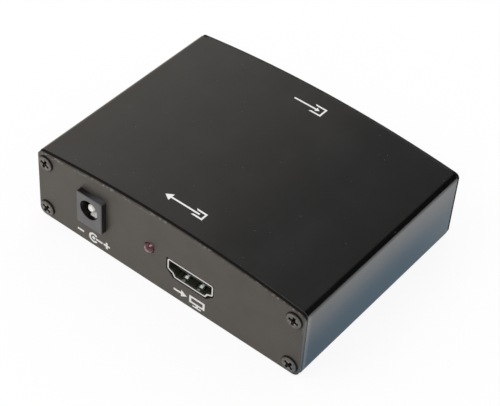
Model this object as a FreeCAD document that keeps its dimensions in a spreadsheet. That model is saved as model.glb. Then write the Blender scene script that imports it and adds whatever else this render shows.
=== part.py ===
"""Video converter box: an extruded sleeve with two screwed end panels round one circuit board.

The frame: origin at the centre of the underside, +X to the right as seen from the front, +Y from
the front panel to the back panel, +Z up. Lengths are millimetres, angles degrees.
"""
import FreeCAD, Part
import os
import re
import Sketcher

SIZES = {
    # extruded sleeve: a flat-bottomed tube with a slightly arched top
    "case_width": 90.0,
    "case_side_height": 22.8,
    "crown_rise": 2.95,
    "case_wall": 1.5,
    "sleeve_length": 66.0,
    "case_top_round": 1.7,
    "case_bottom_round": 2.3,
    # screw channels in the four corners, and the rails that hold the board
    "screw_side_inset": 3.15,
    "screw_bottom_inset": 3.35,
    "screw_top_inset": 3.05,
    "channel_wall": 1.6,
    "channel_slit": 1.2,
    "rail_reach": 2.2,
    "rail_thickness": 1.2,
    "rail_play": 0.1,
    # end panels
    "panel_thickness": 1.2,
    "panel_inset": 0.15,
    "panel_edge_round": 0.2,
    "opening_gap": 0.35,
    # panel screws
    "screw_core_radius": 1.1,
    "screw_length": 8.0,
    "screw_head_radius": 2.55,
    "screw_head_height": 0.6,
    "screw_head_rim": 0.15,
    "screw_head_flat": 2.1,
    "screw_hole_gap": 0.4,
    "thread_gap": 0.05,
    "cross_width": 0.85,
    "cross_length": 3.0,
    "cross_depth": 0.45,
    "cross_core_radius": 0.75,
    "cross_core_depth": 1.4,
    # circuit board
    "board_underside": 5.85,
    "board_thickness": 1.6,
    "board_end_gap": 0.2,
    "board_side_gap": 0.2,
    "board_hole_gap": 0.15,
    "tail_length": 1.0,
    "seat_gap": 0.04,
    # power jack
    "jack_x": -24.9,
    "jack_axis_rise": 7.05,
    "jack_face_width": 9.0,
    "jack_face_above": 4.6,
    "jack_face_below": 6.4,
    "jack_face_depth": 3.2,
    "jack_edge": 0.25,
    "jack_corner_round": 0.5,
    "jack_body_width": 8.6,
    "jack_body_radius": 4.1,
    "jack_back_wall": 1.17,
    "jack_proud": 1.75,
    "jack_bore_radius": 3.1,
    "jack_bore_depth": 11.0,
    "pin_radius": 1.25,
    "pin_root_radius": 0.9,
    "pin_recess": 0.8,
    "pin_tip": 0.4,
    "jack_tail_width": 2.4,
    "jack_tail_rise": 1.3,
    "jack_tail_thickness": 0.5,
    # sprung leaf in the power jack
    "leaf_width": 2.4,
    "leaf_thickness": 0.3,
    "leaf_pivot_depth": 12.3,
    "leaf_pivot_drop": 4.4,
    "leaf_root_radius": 0.45,
    "leaf_peak_depth": 3.3,
    "leaf_peak_drop": 2.5,
    "leaf_tip_depth": 1.9,
    "leaf_tip_drop": 3.7,
    "leaf_side_gap": 0.3,
    "leaf_slot_drop": 5.6,
    "leaf_slot_rise": 1.8,
    "leaf_slot_lead": 1.0,
    "leaf_root_gap": 0.08,
    "leaf_post_thickness": 0.4,
    # signal lamp
    "led_x": -5.1,
    "led_rise": 5.42,
    "led_radius": 1.5,
    "led_rim_radius": 1.85,
    "led_rim_thickness": 1.0,
    "led_length": 5.2,
    "led_proud": 1.3,
    "led_hole_gap": 0.2,
    "led_lead_width": 0.5,
    "led_lead_pitch": 2.54,
    "led_lead_reach": 2.0,
    # digital video port
    "hdmi_x": 8.68,
    "hdmi_half_width": 7.65,
    "hdmi_height": 5.7,
    "hdmi_side_height": 3.7,
    "hdmi_step_half": 5.9,
    "hdmi_step_height": 1.25,
    "hdmi_base_half": 5.2,
    "hdmi_sheet": 0.45,
    "hdmi_corner_round": 0.7,
    "hdmi_length": 11.8,
    "hdmi_recess": 0.1,
    "hdmi_tongue_half": 5.6,
    "hdmi_tongue_thickness": 1.3,
    "hdmi_tongue_low": 2.35,
    "hdmi_tongue_recess": 1.6,
    "hdmi_block_depth": 3.2,
    "hdmi_block_low_half": 5.1,
    "hdmi_contact_width": 0.32,
    "hdmi_contact_thickness": 0.15,
    "hdmi_contact_pitch": 1.0,
    "hdmi_contact_reach": 7.2,
    "hdmi_foot_length": 0.9,
    "hdmi_upper_turn": 0.9,
    "hdmi_lower_turn": 0.3,
    "hdmi_finger_width": 2.0,
    "hdmi_finger_pitch": 5.0,
    "hdmi_finger_thickness": 0.25,
    "hdmi_finger_slit": 0.3,
    "hdmi_window_depth": 0.95,
    "hdmi_window_length": 4.4,
    "hdmi_finger_run": 0.9,
    "hdmi_finger_lift": 0.5,
    "hdmi_finger_tip": 0.1,
    "hdmi_leg_rise": 2.8,
    "hdmi_leg_width": 1.4,
    "hdmi_leg_front": 2.4,
    "hdmi_leg_pitch": 6.2,
    # analogue video port
    "vga_x": -17.0,
    "vga_board_gap": 0.3,
    "vga_flange_margin": 5.81,
    "vga_flange_height": 12.5,
    "vga_flange_thickness": 0.8,
    "vga_top_half": 8.15,
    "vga_base_half": 6.76,
    "vga_half_height": 3.95,
    "vga_round": 2.2,
    "vga_sheet": 0.45,
    "vga_reach": 5.9,
    "vga_face_recess": 0.3,
    "vga_pitch": 2.29,
    "vga_row_pitch": 1.98,
    "vga_socket_radius": 0.62,
    "vga_socket_bore": 0.42,
    "vga_socket_depth": 4.5,
    "vga_mouth_recess": 0.4,
    "vga_mouth_radius": 0.5,
    "vga_block_depth": 4.4,
    "vga_block_margin": 4.01,
    "vga_block_top": 5.2,
    "vga_wire": 0.5,
    "vga_tail_first": 6.0,
    "vga_tail_pitch": 2.2,
    "jackscrew_spacing": 24.99,
    "jackscrew_across": 5.0,
    "jackscrew_head": 5.0,
    "jackscrew_bore": 1.42,
    "jackscrew_bore_depth": 4.2,
    "jackscrew_stud": 1.4,
    "jackscrew_stud_length": 4.4,
    "jackscrew_hole": 1.6,
    # sound jack
    "sound_x": 20.0,
    "sound_axis_rise": 5.2,
    "sound_width": 10.0,
    "sound_above": 4.4,
    "sound_back_wall": 0.93,
    "sound_way_radius": 2.3,
    "sound_nose_radius": 3.0,
    "sound_nose_bore": 1.85,
    "sound_nose_reach": 2.8,
    "sound_nose_bevel": 0.25,
    "sound_flange_radius": 3.9,
    "sound_flange_depth": 1.3,
    "sound_nut_across": 8.0,
    "sound_nut_thickness": 1.8,
    "sound_strip": 0.4,
    "sound_strip_width": 1.6,
    # sprung contacts in the sound jack
    "spring_width": 1.6,
    "spring_thickness": 0.25,
    "spring_pivot_side": 3.1,
    "spring_pivot_depth": 12.4,
    "spring_root_radius": 0.4,
    "spring_peak_side": 1.5,
    "spring_tip_side": 2.4,
    "spring_tip_reach": 1.5,
    "tip_peak_depth": 8.9,
    "ring_peak_depth": 5.9,
    "spring_slot_side": 4.2,
    "spring_slot_gap": 0.3,
    "spring_slot_lead": 1.0,
    "spring_post_width": 1.2,
    "spring_post_thickness": 0.35,
    # main video chip
    "chip_x": 0.0,
    "chip_y": 1.0,
    "chip_side": 14.0,
    "chip_thickness": 1.4,
    "chip_stand_off": 0.1,
    "chip_edge": 0.4,
    "lead_width": 0.28,
    "lead_pitch": 0.8,
    "lead_margin": 0.9,
    "lead_thickness": 0.15,
    "lead_reach": 1.0,
    "lead_foot": 0.6,
    "lead_rise": 0.75,
    # small chips
    "flash_x": -16.0,
    "flash_y": -3.0,
    "flash_width": 3.9,
    "flash_length": 4.9,
    "audio_x": 20.0,
    "audio_y": 3.0,
    "audio_width": 3.9,
    "audio_length": 9.9,
    "small_lead_pitch": 1.27,
    "small_lead_margin": 0.4,
    "small_lead_width": 0.4,
    "small_chip_thickness": 1.45,
    # clock crystal
    "crystal_x": -14.0,
    "crystal_y": 9.0,
    "crystal_length": 11.2,
    "crystal_width": 4.7,
    "crystal_height": 3.6,
    "crystal_round": 2.1,
    "crystal_rim": 0.35,
    "crystal_rim_thickness": 0.5,
    # power parts, placed from the board's left side and its two ends
    "regulator_side_inset": 6.8,
    "regulator_front_inset": 23.8,
    "regulator_pitch": 10.0,
    "regulator_sheet": 0.3,
    "regulator_width": 3.5,
    "regulator_length": 6.5,
    "regulator_thickness": 1.65,
    "regulator_tab_width": 3.0,
    "regulator_tab_reach": 1.75,
    "regulator_lead_width": 0.7,
    "regulator_lead_pitch": 2.3,
    "coil_side_inset": 6.8,
    "coil_jack_gap": 1.7,
    "coil_side": 7.0,
    "coil_height": 3.2,
    "coil_core_radius": 2.2,
    "coil_flange": 0.8,
    "coil_winding_radius": 3.0,
    "can_radius": 3.15,
    "can_height": 5.4,
    "can_round": 0.4,
    "can_base_side": 6.6,
    "can_base_height": 0.9,
    "can_base_cut": 1.2,
    "can_left_inset": 14.3,
    "can_right_inset": 10.3,
    "can_front_inset": 18.8,
    "can_back_inset": 20.8,
    # rows of small ceramic capacitors and resistors
    "bit_length": 1.6,
    "bit_width": 0.8,
    "bit_thickness": 0.8,
    "resistor_thickness": 0.5,
    "bit_pitch": 2.6,
    "bit_row_gap": 4.5,
}

DERIVED = {
    "half_width": "case_width / 2",
    "half_sleeve": "sleeve_length / 2",
    "inner_half": "case_width / 2 - case_wall",
    "crown_radius": "(case_width^2 / 4 + crown_rise^2) / (2 * crown_rise)",
    "crown_centre": "case_side_height + crown_rise - crown_radius",
    "panel_face": "sleeve_length / 2 + panel_thickness",
    "board_top": "board_underside + board_thickness",
    "board_half": "inner_half - board_side_gap",
    "board_end": "half_sleeve - board_end_gap",
    "tail_end": "board_underside - tail_length",
    "screw_x": "half_width - screw_side_inset",
    "screw_low_height": "screw_bottom_inset",
    "screw_high_height": "case_side_height - screw_top_inset",
    "channel_bore": "screw_core_radius + thread_gap",
    "channel_radius": "channel_bore + channel_wall",
    "screw_hole": "screw_core_radius + screw_hole_gap",
    "slot_top": "board_top + rail_play",
    "jack_front": "-(panel_face + jack_proud)",
    "jack_height": "board_top + jack_axis_rise",
    "jack_floor": "-jack_axis_rise",
    "leaf_slot_half": "leaf_width / 2 + leaf_side_gap",
    "leaf_post_front": "leaf_pivot_depth + leaf_root_radius + leaf_root_gap",
    "leaf_post_back": "leaf_post_front + leaf_post_thickness",
    "jack_length": "leaf_post_back + jack_back_wall",
    "led_height": "board_top + led_rise",
    "led_front": "-(panel_face + led_proud)",
    "led_back": "led_front + led_length",
    "led_lead_y": "led_back + led_lead_reach",
    "hdmi_front": "-(panel_face - hdmi_recess)",
    "hdmi_shoulder": "hdmi_height - hdmi_side_height",
    "hdmi_block_front": "hdmi_length - hdmi_block_depth",
    "hdmi_tongue_top": "hdmi_tongue_low + hdmi_tongue_thickness",
    "hdmi_leg_x": "hdmi_half_width - hdmi_sheet / 2",
    "hdmi_contact_start": "hdmi_block_front - hdmi_contact_reach + hdmi_tongue_recess",
    "hdmi_window_back": "hdmi_window_depth + hdmi_window_length",
    "hdmi_tip_depth": "hdmi_window_depth + hdmi_finger_slit",
    "hdmi_crest_depth": "hdmi_tip_depth + hdmi_finger_run",
    "vga_flange_width": "jackscrew_spacing + vga_flange_margin",
    "vga_block_width": "jackscrew_spacing + vga_block_margin",
    "vga_axis_rise": "vga_board_gap + vga_flange_height / 2",
    "vga_height": "board_top + vga_axis_rise",
    "vga_face": "vga_reach - vga_face_recess",
    "sound_height": "board_top + sound_axis_rise",
    "spring_post_front": "spring_pivot_depth + spring_root_radius + leaf_root_gap",
    "spring_post_back": "spring_post_front + spring_post_thickness",
    "sound_length": "spring_post_back + seat_gap + sound_back_wall",
    "chip_base": "board_top + chip_stand_off",
    "chip_reach": "chip_side / 2 + lead_reach",
    "regulator_x": "-(board_half - regulator_side_inset)",
    "regulator_y": "-(board_end - regulator_front_inset)",
    "coil_x": "-(board_half - coil_side_inset)",
    "coil_y": "jack_front + jack_length + coil_jack_gap + coil_side / 2",
    "can_left_x": "-(board_half - can_left_inset)",
    "can_right_x": "board_half - can_right_inset",
    "can_front_y": "-(board_end - can_front_inset)",
    "can_back_y": "board_end - can_back_inset",
    "bit_row_front": "chip_y - chip_reach - bit_row_gap",
    "bit_row_back": "chip_y + chip_reach + bit_row_gap",
}

doc = FreeCAD.newDocument("converter_box")
sheet = doc.addObject("Spreadsheet::Sheet", "Sizes")
for row, (size_name, size_value) in enumerate(SIZES.items(), 1):
    sheet.set(f"A{row}", size_name)
    sheet.set(f"B{row}", str(size_value))
    sheet.setAlias(f"B{row}", size_name)
doc.recompute()

PLANES = {"x": "YZ_Plane", "y": "XZ_Plane", "z": "XY_Plane"}
TOUCH = 0.0001
BITS_IN_A_ROW = 6
PIECES = []


def spelled(formula):
    """Write a formula with its names as cells of the sheet, derived names opened up."""

    def cell(match):
        word = match.group(0)
        if word in DERIVED:
            return "(" + spelled(DERIVED[word]) + ")"
        return "Sizes." + word if word in SIZES else word

    return re.sub(r"[a-z][a-z_0-9]*", cell, str(formula))


def bind(item, prop, formula):
    item.setExpression(prop, spelled(formula))


def value_of(formula):
    return float(sheet.evalExpression(spelled(formula)))


def place(item, x=0, y=0, z=0, turn=None):
    """Put an object's own origin at a point, after a turn of some degrees about an axis."""
    if turn:
        axis, angle = turn
        item.Placement = FreeCAD.Placement(FreeCAD.Vector(), FreeCAD.Rotation(axis, angle))
    for letter, formula in zip("xyz", (x, y, z)):
        bind(item, "Placement.Base." + letter, formula)
    return item


def new_body(name):
    body = doc.addObject("PartDesign::Body", name)
    body.Label = name
    return body


def piece(item):
    """Note that an object is one of the finished pieces, which are written out at the end."""
    PIECES.append(item)
    return item


def group(name, members):
    """Several like solids that make one piece group."""
    whole = doc.addObject("Part::Compound", name)
    whole.Label = name
    whole.Links = members
    return piece(whole)


def origin_part(body, role):
    return next(item for item in body.Origin.OriginFeatures if item.Role == role)


def rectangle(x_low, y_low, x_high, y_high):
    return [(x_low, y_low), (x_high, y_low), (x_high, y_high), (x_low, y_high)]


def centred(x, y, wide, deep):
    """A rectangle round a centre."""
    return rectangle(
        f"{x} - ({wide}) / 2", f"{y} - ({deep}) / 2", f"{x} + ({wide}) / 2", f"{y} + ({deep}) / 2"
    )


def circle(x, y, radius):
    return {"x": x, "y": y, "radius": radius}


def draw_circle(sketch, loop):
    x, y, radius = (value_of(loop[key]) for key in ("x", "y", "radius"))
    shape = Part.Circle(FreeCAD.Vector(x, y, 0), FreeCAD.Vector(0, 0, 1), radius)
    number = sketch.addGeometry(shape)
    hold_point(sketch, number, 3, loop["x"], loop["y"])
    mark = sketch.addConstraint(Sketcher.Constraint("Radius", number, radius))
    bind(sketch, f"Constraints[{mark}]", loop["radius"])


def hold_point(sketch, number, end, x, y):
    """Tie one point of a sketch to two formulas."""
    for kind, formula in (("DistanceX", x), ("DistanceY", y)):
        amount = value_of(formula)
        mark = sketch.addConstraint(Sketcher.Constraint(kind, -1, 1, number, end, amount))
        bind(sketch, f"Constraints[{mark}]", formula)


def draw_outline(sketch, corners):
    """Draw a closed outline. A third value at a corner makes the edge after it an outward arc."""
    points = [FreeCAD.Vector(value_of(item[0]), value_of(item[1]), 0) for item in corners]
    numbers = []
    for index, item in enumerate(corners):
        start, stop = points[index], points[(index + 1) % len(points)]
        if len(item) == 2:
            numbers.append(sketch.addGeometry(Part.LineSegment(start, stop)))
            continue
        radius = value_of(item[2])
        chord = stop - start
        inward = FreeCAD.Vector(-chord.y, chord.x, 0).normalize()
        centre = (start + stop) * 0.5 + inward * (radius**2 - (chord.Length / 2) ** 2) ** 0.5
        middle = centre - inward * radius
        numbers.append(sketch.addGeometry(Part.Arc(start, middle, stop)))
        mark = sketch.addConstraint(Sketcher.Constraint("Radius", numbers[-1], radius))
        bind(sketch, f"Constraints[{mark}]", item[2])
    for index, number in enumerate(numbers):
        following = numbers[(index + 1) % len(numbers)]
        sketch.addConstraint(Sketcher.Constraint("Coincident", number, 2, following, 1))
        hold_point(sketch, number, 1, corners[index][0], corners[index][1])


def new_sketch(body, axis, level, loops):
    """A sketch on the plane square to an axis, some way along it."""
    sketch = body.newObject("Sketcher::SketchObject", body.Name + "_sketch")
    sketch.AttachmentSupport = [(origin_part(body, PLANES[axis]), "")]
    sketch.MapMode = "FlatFace"
    bind(sketch, "AttachmentOffset.Base.z", f"-({level})" if axis == "y" else level)
    for loop in loops:
        if isinstance(loop, dict):
            draw_circle(sketch, loop)
        else:
            draw_outline(sketch, loop)
    return sketch


def pad(body, axis, level, length, loops):
    """Add material from a level, towards the positive end of an axis."""
    sketch = new_sketch(body, axis, level, loops)
    feature = body.newObject("PartDesign::Pad", body.Name + "_pad")
    feature.Profile = sketch
    feature.Reversed = axis == "y"
    bind(feature, "Length", length)
    return feature


def pocket(body, axis, level, length, loops):
    """Take material away from a level, towards the positive end of an axis."""
    sketch = new_sketch(body, axis, level, loops)
    feature = body.newObject("PartDesign::Pocket", body.Name + "_pocket")
    feature.Profile = sketch
    feature.Reversed = axis != "y"
    bind(feature, "Length", length)
    return feature


def turned(body, outline):
    """Turn an outline of (depth along Y, radius) points about the Y axis."""
    sketch = new_sketch(body, "x", 0, [outline])
    feature = body.newObject("PartDesign::Revolution", body.Name + "_turned")
    feature.Profile = sketch
    feature.ReferenceAxis = (sketch, ["H_Axis"])
    feature.Angle = 360
    return feature


def ease(body, kind, amount, wanted):
    """Round (Fillet) or bevel (Chamfer) the edges that a test picks."""
    doc.recompute()
    base = body.Tip
    names = [f"Edge{number}" for number, edge in enumerate(base.Shape.Edges, 1) if wanted(edge)]
    feature = body.newObject("PartDesign::" + kind, f"{body.Name}_{kind.lower()}")
    feature.Base = (base, names)
    bind(feature, "Radius" if kind == "Fillet" else "Size", amount)
    return feature


def hollow(body, amount, axis):
    """Leave a wall of one thickness, open at both ends of an axis."""
    doc.recompute()
    base = body.Tip
    names = [
        f"Face{number}"
        for number, face in enumerate(base.Shape.Faces, 1)
        if abs(getattr(face.normalAt(0, 0), axis)) > 0.99
    ]
    feature = body.newObject("PartDesign::Thickness", body.Name + "_wall")
    feature.Base = (base, names)
    feature.Reversed = True
    bind(feature, "Value", amount)
    return feature


def repeat(body, axis, step, count):
    """Repeat the whole body so far along an axis."""
    doc.recompute()
    pattern = body.newObject("PartDesign::LinearPattern", body.Name + "_row")
    pattern.TransformMode = "Whole shape"
    pattern.Direction = (origin_part(body, axis.upper() + "_Axis"), [""])
    pattern.Mode = "Spacing"
    bind(pattern, "Offset", step)
    bind(pattern, "Occurrences", count)
    body.Tip = pattern
    return pattern


def runs_along(edge, axis):
    """True for a straight edge that runs along an axis."""
    if not isinstance(edge.Curve, Part.Line):
        return False
    return abs(getattr(edge.Curve.Direction, axis)) > 0.999


def lies_at(edge, axis, level):
    """True for an edge that lies wholly in the plane at a level of an axis."""
    box = edge.BoundBox
    low, high = getattr(box, axis.upper() + "Min"), getattr(box, axis.upper() + "Max")
    return abs(low - level) < TOUCH and abs(high - level) < TOUCH


def crowned_section(inset):
    """The case's cross-section, drawn in by an even amount."""
    half = f"(half_width - ({inset}))"
    radius = f"(crown_radius - ({inset}))"
    shoulder = f"crown_centre + sqrt({radius}^2 - {half}^2)"
    return [(f"-{half}", inset), (half, inset), (half, shoulder, radius), (f"-{half}", shoulder)]


def screw_spots():
    """The four places of a panel's screws, each with the side that it is on."""
    return [
        (side, height)
        for side in (-1, 1)
        for height in ("screw_low_height", "screw_high_height")
    ]


def corner_edges(low_only=None):
    """A test for the long corner edges of the case's outline, bottom or top ones."""

    def wanted(edge):
        if not runs_along(edge, "y") or abs(edge.CenterOfMass.x) < value_of("inner_half") + 0.1:
            return False
        return (edge.CenterOfMass.z < value_of("case_side_height") / 2) == low_only

    return wanted


def make_case_sleeve():
    body = new_body("case_sleeve")
    start = "-half_sleeve"
    pad(body, "y", start, "sleeve_length", [crowned_section("0"), crowned_section("case_wall")])
    ease(body, "Fillet", "case_bottom_round", corner_edges(True))
    ease(body, "Fillet", "case_top_round", corner_edges(False))
    for side, height in screw_spots():
        ring = circle(f"{side} * screw_x", height, "channel_radius")
        pad(body, "y", start, "sleeve_length", [ring])
    rails = [
        rectangle("-(inner_half + case_wall / 2)", "slot_top", "-(inner_half - rail_reach)",
                  "slot_top + rail_thickness"),
        rectangle("inner_half - rail_reach", "slot_top", "inner_half + case_wall / 2",
                  "slot_top + rail_thickness"),
    ]
    pad(body, "y", start, "sleeve_length", rails)
    pocket(body, "y", start, "sleeve_length",
           [rectangle("-inner_half", "board_underside", "inner_half", "slot_top")])
    for side, height in screw_spots():
        x = f"{side} * screw_x"
        pocket(body, "y", start, "sleeve_length", [circle(x, height, "channel_bore")])
        slit_end = f"{side} * (screw_x - channel_radius - channel_slit)"
        low, high = (slit_end, x) if side > 0 else (x, slit_end)
        slit = rectangle(low, f"{height} - channel_slit / 2", high, f"{height} + channel_slit / 2")
        pocket(body, "y", start, "sleeve_length", [slit])
    return piece(body)


def panel_blank(name, start, outer):
    """An end panel's plate with its screw holes, before its openings are cut."""
    body = new_body(name)
    pad(body, "y", start, "panel_thickness", [crowned_section("panel_inset")])
    ease(body, "Fillet", "case_bottom_round - panel_inset", corner_edges(True))
    ease(body, "Fillet", "case_top_round - panel_inset", corner_edges(False))
    ease(body, "Fillet", "panel_edge_round", lambda edge: lies_at(edge, "y", value_of(outer)))
    holes = [circle(f"{side} * screw_x", height, "screw_hole") for side, height in screw_spots()]
    pocket(body, "y", start, "panel_thickness", holes)
    return body


def hdmi_outline(gap, with_step):
    """The digital port's outline in its own frame, grown by a gap."""
    half = f"hdmi_half_width + {gap}"
    low = f"hdmi_base_half + {gap}"
    right = [(low, f"-({gap})")]
    if with_step:
        right.append((f"hdmi_step_half + {gap}", "hdmi_step_height"))
    right += [(half, "hdmi_shoulder"), (half, f"hdmi_height + {gap}")]
    return right + [(f"-({x})", y) for x, y in reversed(right)]


def moved(outline, x, y):
    """An outline or circle at another place."""
    if isinstance(outline, dict):
        return circle(f"{x} + {outline['x']}", f"{y} + {outline['y']}", outline["radius"])
    return [(f"{x} + ({px})", f"{y} + ({py})") for px, py in outline]


def make_front_panel():
    body = panel_blank("front_panel", "-panel_face", "-panel_face")
    jack_hole = rectangle(
        "jack_x - jack_face_width / 2 - seat_gap", "jack_height - jack_face_below - seat_gap",
        "jack_x + jack_face_width / 2 + seat_gap", "jack_height + jack_face_above + seat_gap"
    )
    led_hole = circle("led_x", "led_height", "led_radius + led_hole_gap")
    hdmi_hole = moved(hdmi_outline("opening_gap", False), "hdmi_x", "board_top")
    pocket(body, "y", "-panel_face", "panel_thickness", [jack_hole, led_hole, hdmi_hole])
    return piece(body)


def make_back_panel():
    body = panel_blank("back_panel", "half_sleeve", "panel_face")
    openings = [moved(vga_outline("opening_gap"), "vga_x", "vga_height")]
    for side in (-1, 1):
        x = f"vga_x + {side} * jackscrew_spacing / 2"
        openings.append(circle(x, "vga_height", "jackscrew_hole"))
    openings.append(circle("sound_x", "sound_height", "sound_nose_radius + seat_gap"))
    pocket(body, "y", "half_sleeve", "panel_thickness", openings)
    return piece(body)


def make_screw(name, side, height, facing, twist):
    """One panel screw. It is drawn with its head at negative Y and turned for the back panel."""
    body = new_body(name)
    length = "screw_length + panel_thickness"
    turned(body, [
        ("-screw_head_height", "0"),
        ("-screw_head_height", "screw_head_flat"),
        ("-screw_head_rim", "screw_head_radius"),
        ("0", "screw_head_radius"),
        ("0", "screw_core_radius"),
        (f"{length} - screw_core_radius", "screw_core_radius"),
        (length, "0"),
    ][::-1])
    arms = [("cross_length", "cross_width"), ("cross_width", "cross_length")]
    for wide, tall in arms:
        pocket(body, "y", "-screw_head_height", "cross_depth", [centred("0", "0", wide, tall)])
    pocket(body, "y", "-screw_head_height", "cross_core_depth",
           [circle("0", "0", "cross_core_radius")])
    axis = FreeCAD.Vector(0, 1, 0)
    turn = FreeCAD.Rotation(axis, twist)
    if facing == "back":
        turn = FreeCAD.Rotation(FreeCAD.Vector(0, 0, 1), 180) * turn
    body.Placement = FreeCAD.Placement(FreeCAD.Vector(), turn)
    panel = "-panel_face" if facing == "front" else "panel_face"
    return place(body, f"{side} * screw_x", panel, height)


def make_panel_screws():
    twists = {"front": (31, 22, 38, 12), "back": (8, 55, 27, 70)}
    for facing, angles in twists.items():
        screws = [
            make_screw(f"{facing}_screw_{number}", side, height, facing, angle)
            for number, ((side, height), angle) in enumerate(zip(screw_spots(), angles), 1)
        ]
        group(facing + "_panel_screws", screws)


def make_circuit_board():
    body = new_body("circuit_board")
    gap = "2 * board_hole_gap"
    pad(body, "z", "board_underside", "board_thickness",
        [rectangle("-board_half", "-board_end", "board_half", "board_end")])
    holes = [
        centred("jack_x", "jack_front + jack_length + jack_tail_thickness / 2",
                f"jack_tail_width + {gap}", f"jack_tail_thickness + {gap}"),
        centred("jack_x", "jack_front + leaf_post_front + leaf_post_thickness / 2",
                f"leaf_width + {gap}", f"leaf_post_thickness + {gap}"),
    ]
    for side in (-1, 1):
        holes.append(centred(f"led_x + {side} * led_lead_pitch / 2",
                             "led_lead_y - led_lead_width / 2",
                             f"led_lead_width + {gap}", f"led_lead_width + {gap}"))
        for step in (0, 1):
            holes.append(centred(f"hdmi_x + {side} * hdmi_leg_x",
                                 f"hdmi_front + hdmi_leg_front + {step} * hdmi_leg_pitch"
                                 " + hdmi_leg_width / 2",
                                 f"hdmi_sheet + {gap}", f"hdmi_leg_width + {gap}"))
    for row in (0, 1, 2):
        for column in range(5):
            holes.append(centred(vga_column(row, column), f"half_sleeve - {vga_tail(row)}",
                                 f"vga_wire + {gap}", f"vga_wire + {gap}"))
    holes.append(centred("sound_x", "half_sleeve - sound_flange_depth + sound_strip / 2",
                         f"sound_strip_width + {gap}", f"sound_strip + {gap}"))
    for side in (-1, 1):
        holes.append(centred(f"sound_x + {side} * spring_pivot_side",
                             "half_sleeve - spring_post_front - spring_post_thickness / 2",
                             f"spring_post_width + {gap}", f"spring_post_thickness + {gap}"))
    pocket(body, "z", "board_underside", "board_thickness", holes)
    return piece(body)


def at_jack(body):
    return place(body, "jack_x", "jack_front", "jack_height")


def make_jack_housing():
    body = new_body("dc_jack_housing")
    half = "jack_face_width / 2"
    pad(body, "y", "0", "jack_face_depth",
        [rectangle(f"-{half}", "-jack_face_below", half, "jack_face_above")])
    ease(body, "Fillet", "jack_corner_round", lambda edge: runs_along(edge, "y"))
    ease(body, "Chamfer", "jack_edge", lambda edge: lies_at(edge, "y", 0))
    rest = "jack_length - jack_face_depth"
    half = "jack_body_width / 2"
    pad(body, "y", "jack_face_depth", rest, [rectangle(f"-{half}", "jack_floor", half, "0")])
    pad(body, "y", "jack_face_depth", rest, [circle("0", "0", "jack_body_radius")])
    pocket(body, "y", "0", "jack_bore_depth", [circle("0", "0", "jack_bore_radius")])
    pocket(body, "y", "0", "jack_length", [circle("0", "0", "pin_root_radius + seat_gap")])
    slot_start = "leaf_tip_depth - leaf_slot_lead"
    pocket(body, "y", slot_start, f"leaf_post_back - ({slot_start})",
           [rectangle("-leaf_slot_half", "-leaf_slot_drop", "leaf_slot_half", "-leaf_slot_rise")])
    post_half = "(leaf_width / 2 + seat_gap)"
    pocket(body, "y", "leaf_post_front", "leaf_post_thickness + seat_gap",
           [rectangle(f"-{post_half}", "jack_floor", post_half, "-leaf_slot_drop")])
    return piece(at_jack(body))


def make_jack_pin():
    body = new_body("dc_jack_centre_pin")
    turned(body, [
        ("pin_recess", "0"),
        ("jack_length", "0"),
        ("jack_length", "pin_root_radius"),
        ("jack_bore_depth", "pin_root_radius"),
        ("jack_bore_depth", "pin_radius"),
        ("pin_recess + pin_tip", "pin_radius"),
        ("pin_recess", "pin_radius - pin_tip"),
    ])
    half = "jack_tail_width / 2"
    pad(body, "y", "jack_length", "jack_tail_thickness",
        [rectangle(f"-{half}", "tail_end - jack_height", half, "jack_tail_rise")])
    return piece(at_jack(body))


def make_jack_leaf():
    """The sprung strip below the bore: a root roll, a rise to a peak and a drop to the tip."""
    body = new_body("dc_jack_leaf_contact")
    half = "leaf_thickness / 2"
    strip = [
        ("leaf_tip_depth", f"-leaf_tip_drop - {half}"),
        ("leaf_peak_depth", f"-leaf_peak_drop - {half}"),
        ("leaf_pivot_depth", f"-leaf_pivot_drop - {half}"),
        ("leaf_pivot_depth", f"-leaf_pivot_drop + {half}"),
        ("leaf_peak_depth", f"-leaf_peak_drop + {half}"),
        ("leaf_tip_depth", f"-leaf_tip_drop + {half}"),
    ]
    pad(body, "x", "-leaf_width / 2", "leaf_width", [strip])
    pad(body, "x", "-leaf_width / 2", "leaf_width",
        [circle("leaf_pivot_depth", "-leaf_pivot_drop", "leaf_root_radius")])
    return piece(at_jack(body))


def make_jack_post():
    """The fixed blade that carries the leaf's root and goes down through the board."""
    body = new_body("dc_jack_leaf_terminal")
    half = "leaf_width / 2"
    pad(body, "y", "leaf_post_front", "leaf_post_thickness",
        [rectangle(f"-{half}", "tail_end - jack_height", half,
                   "-leaf_pivot_drop + leaf_root_radius")])
    return piece(at_jack(body))


def make_led():
    body = new_body("power_led")
    dome = "led_radius"
    turned(body, [
        ("0", "0"),
        ("led_length", "0"),
        ("led_length", "led_rim_radius"),
        ("led_length - led_rim_thickness", "led_rim_radius"),
        ("led_length - led_rim_thickness", dome),
        (dome, dome, dome),
    ])
    place(body, "led_x", "led_front", "led_height")
    piece(body)


def make_led_leads():
    body = new_body("led_leads")
    low = "tail_end - led_height"
    half = "led_lead_width / 2"
    back = "led_length + led_lead_reach"
    pad(body, "x", f"-led_lead_pitch / 2 - {half}", "led_lead_width", [[
        ("led_length", f"-{half}"),
        (f"{back} - led_lead_width", f"-{half}"),
        (f"{back} - led_lead_width", low),
        (back, low),
        (back, half),
        ("led_length", half),
    ]])
    repeat(body, "x", "led_lead_pitch", "2")
    piece(place(body, "led_x", "led_front", "led_height"))


def at_hdmi(body):
    return place(body, "hdmi_x", "hdmi_front", "board_top")


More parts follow.
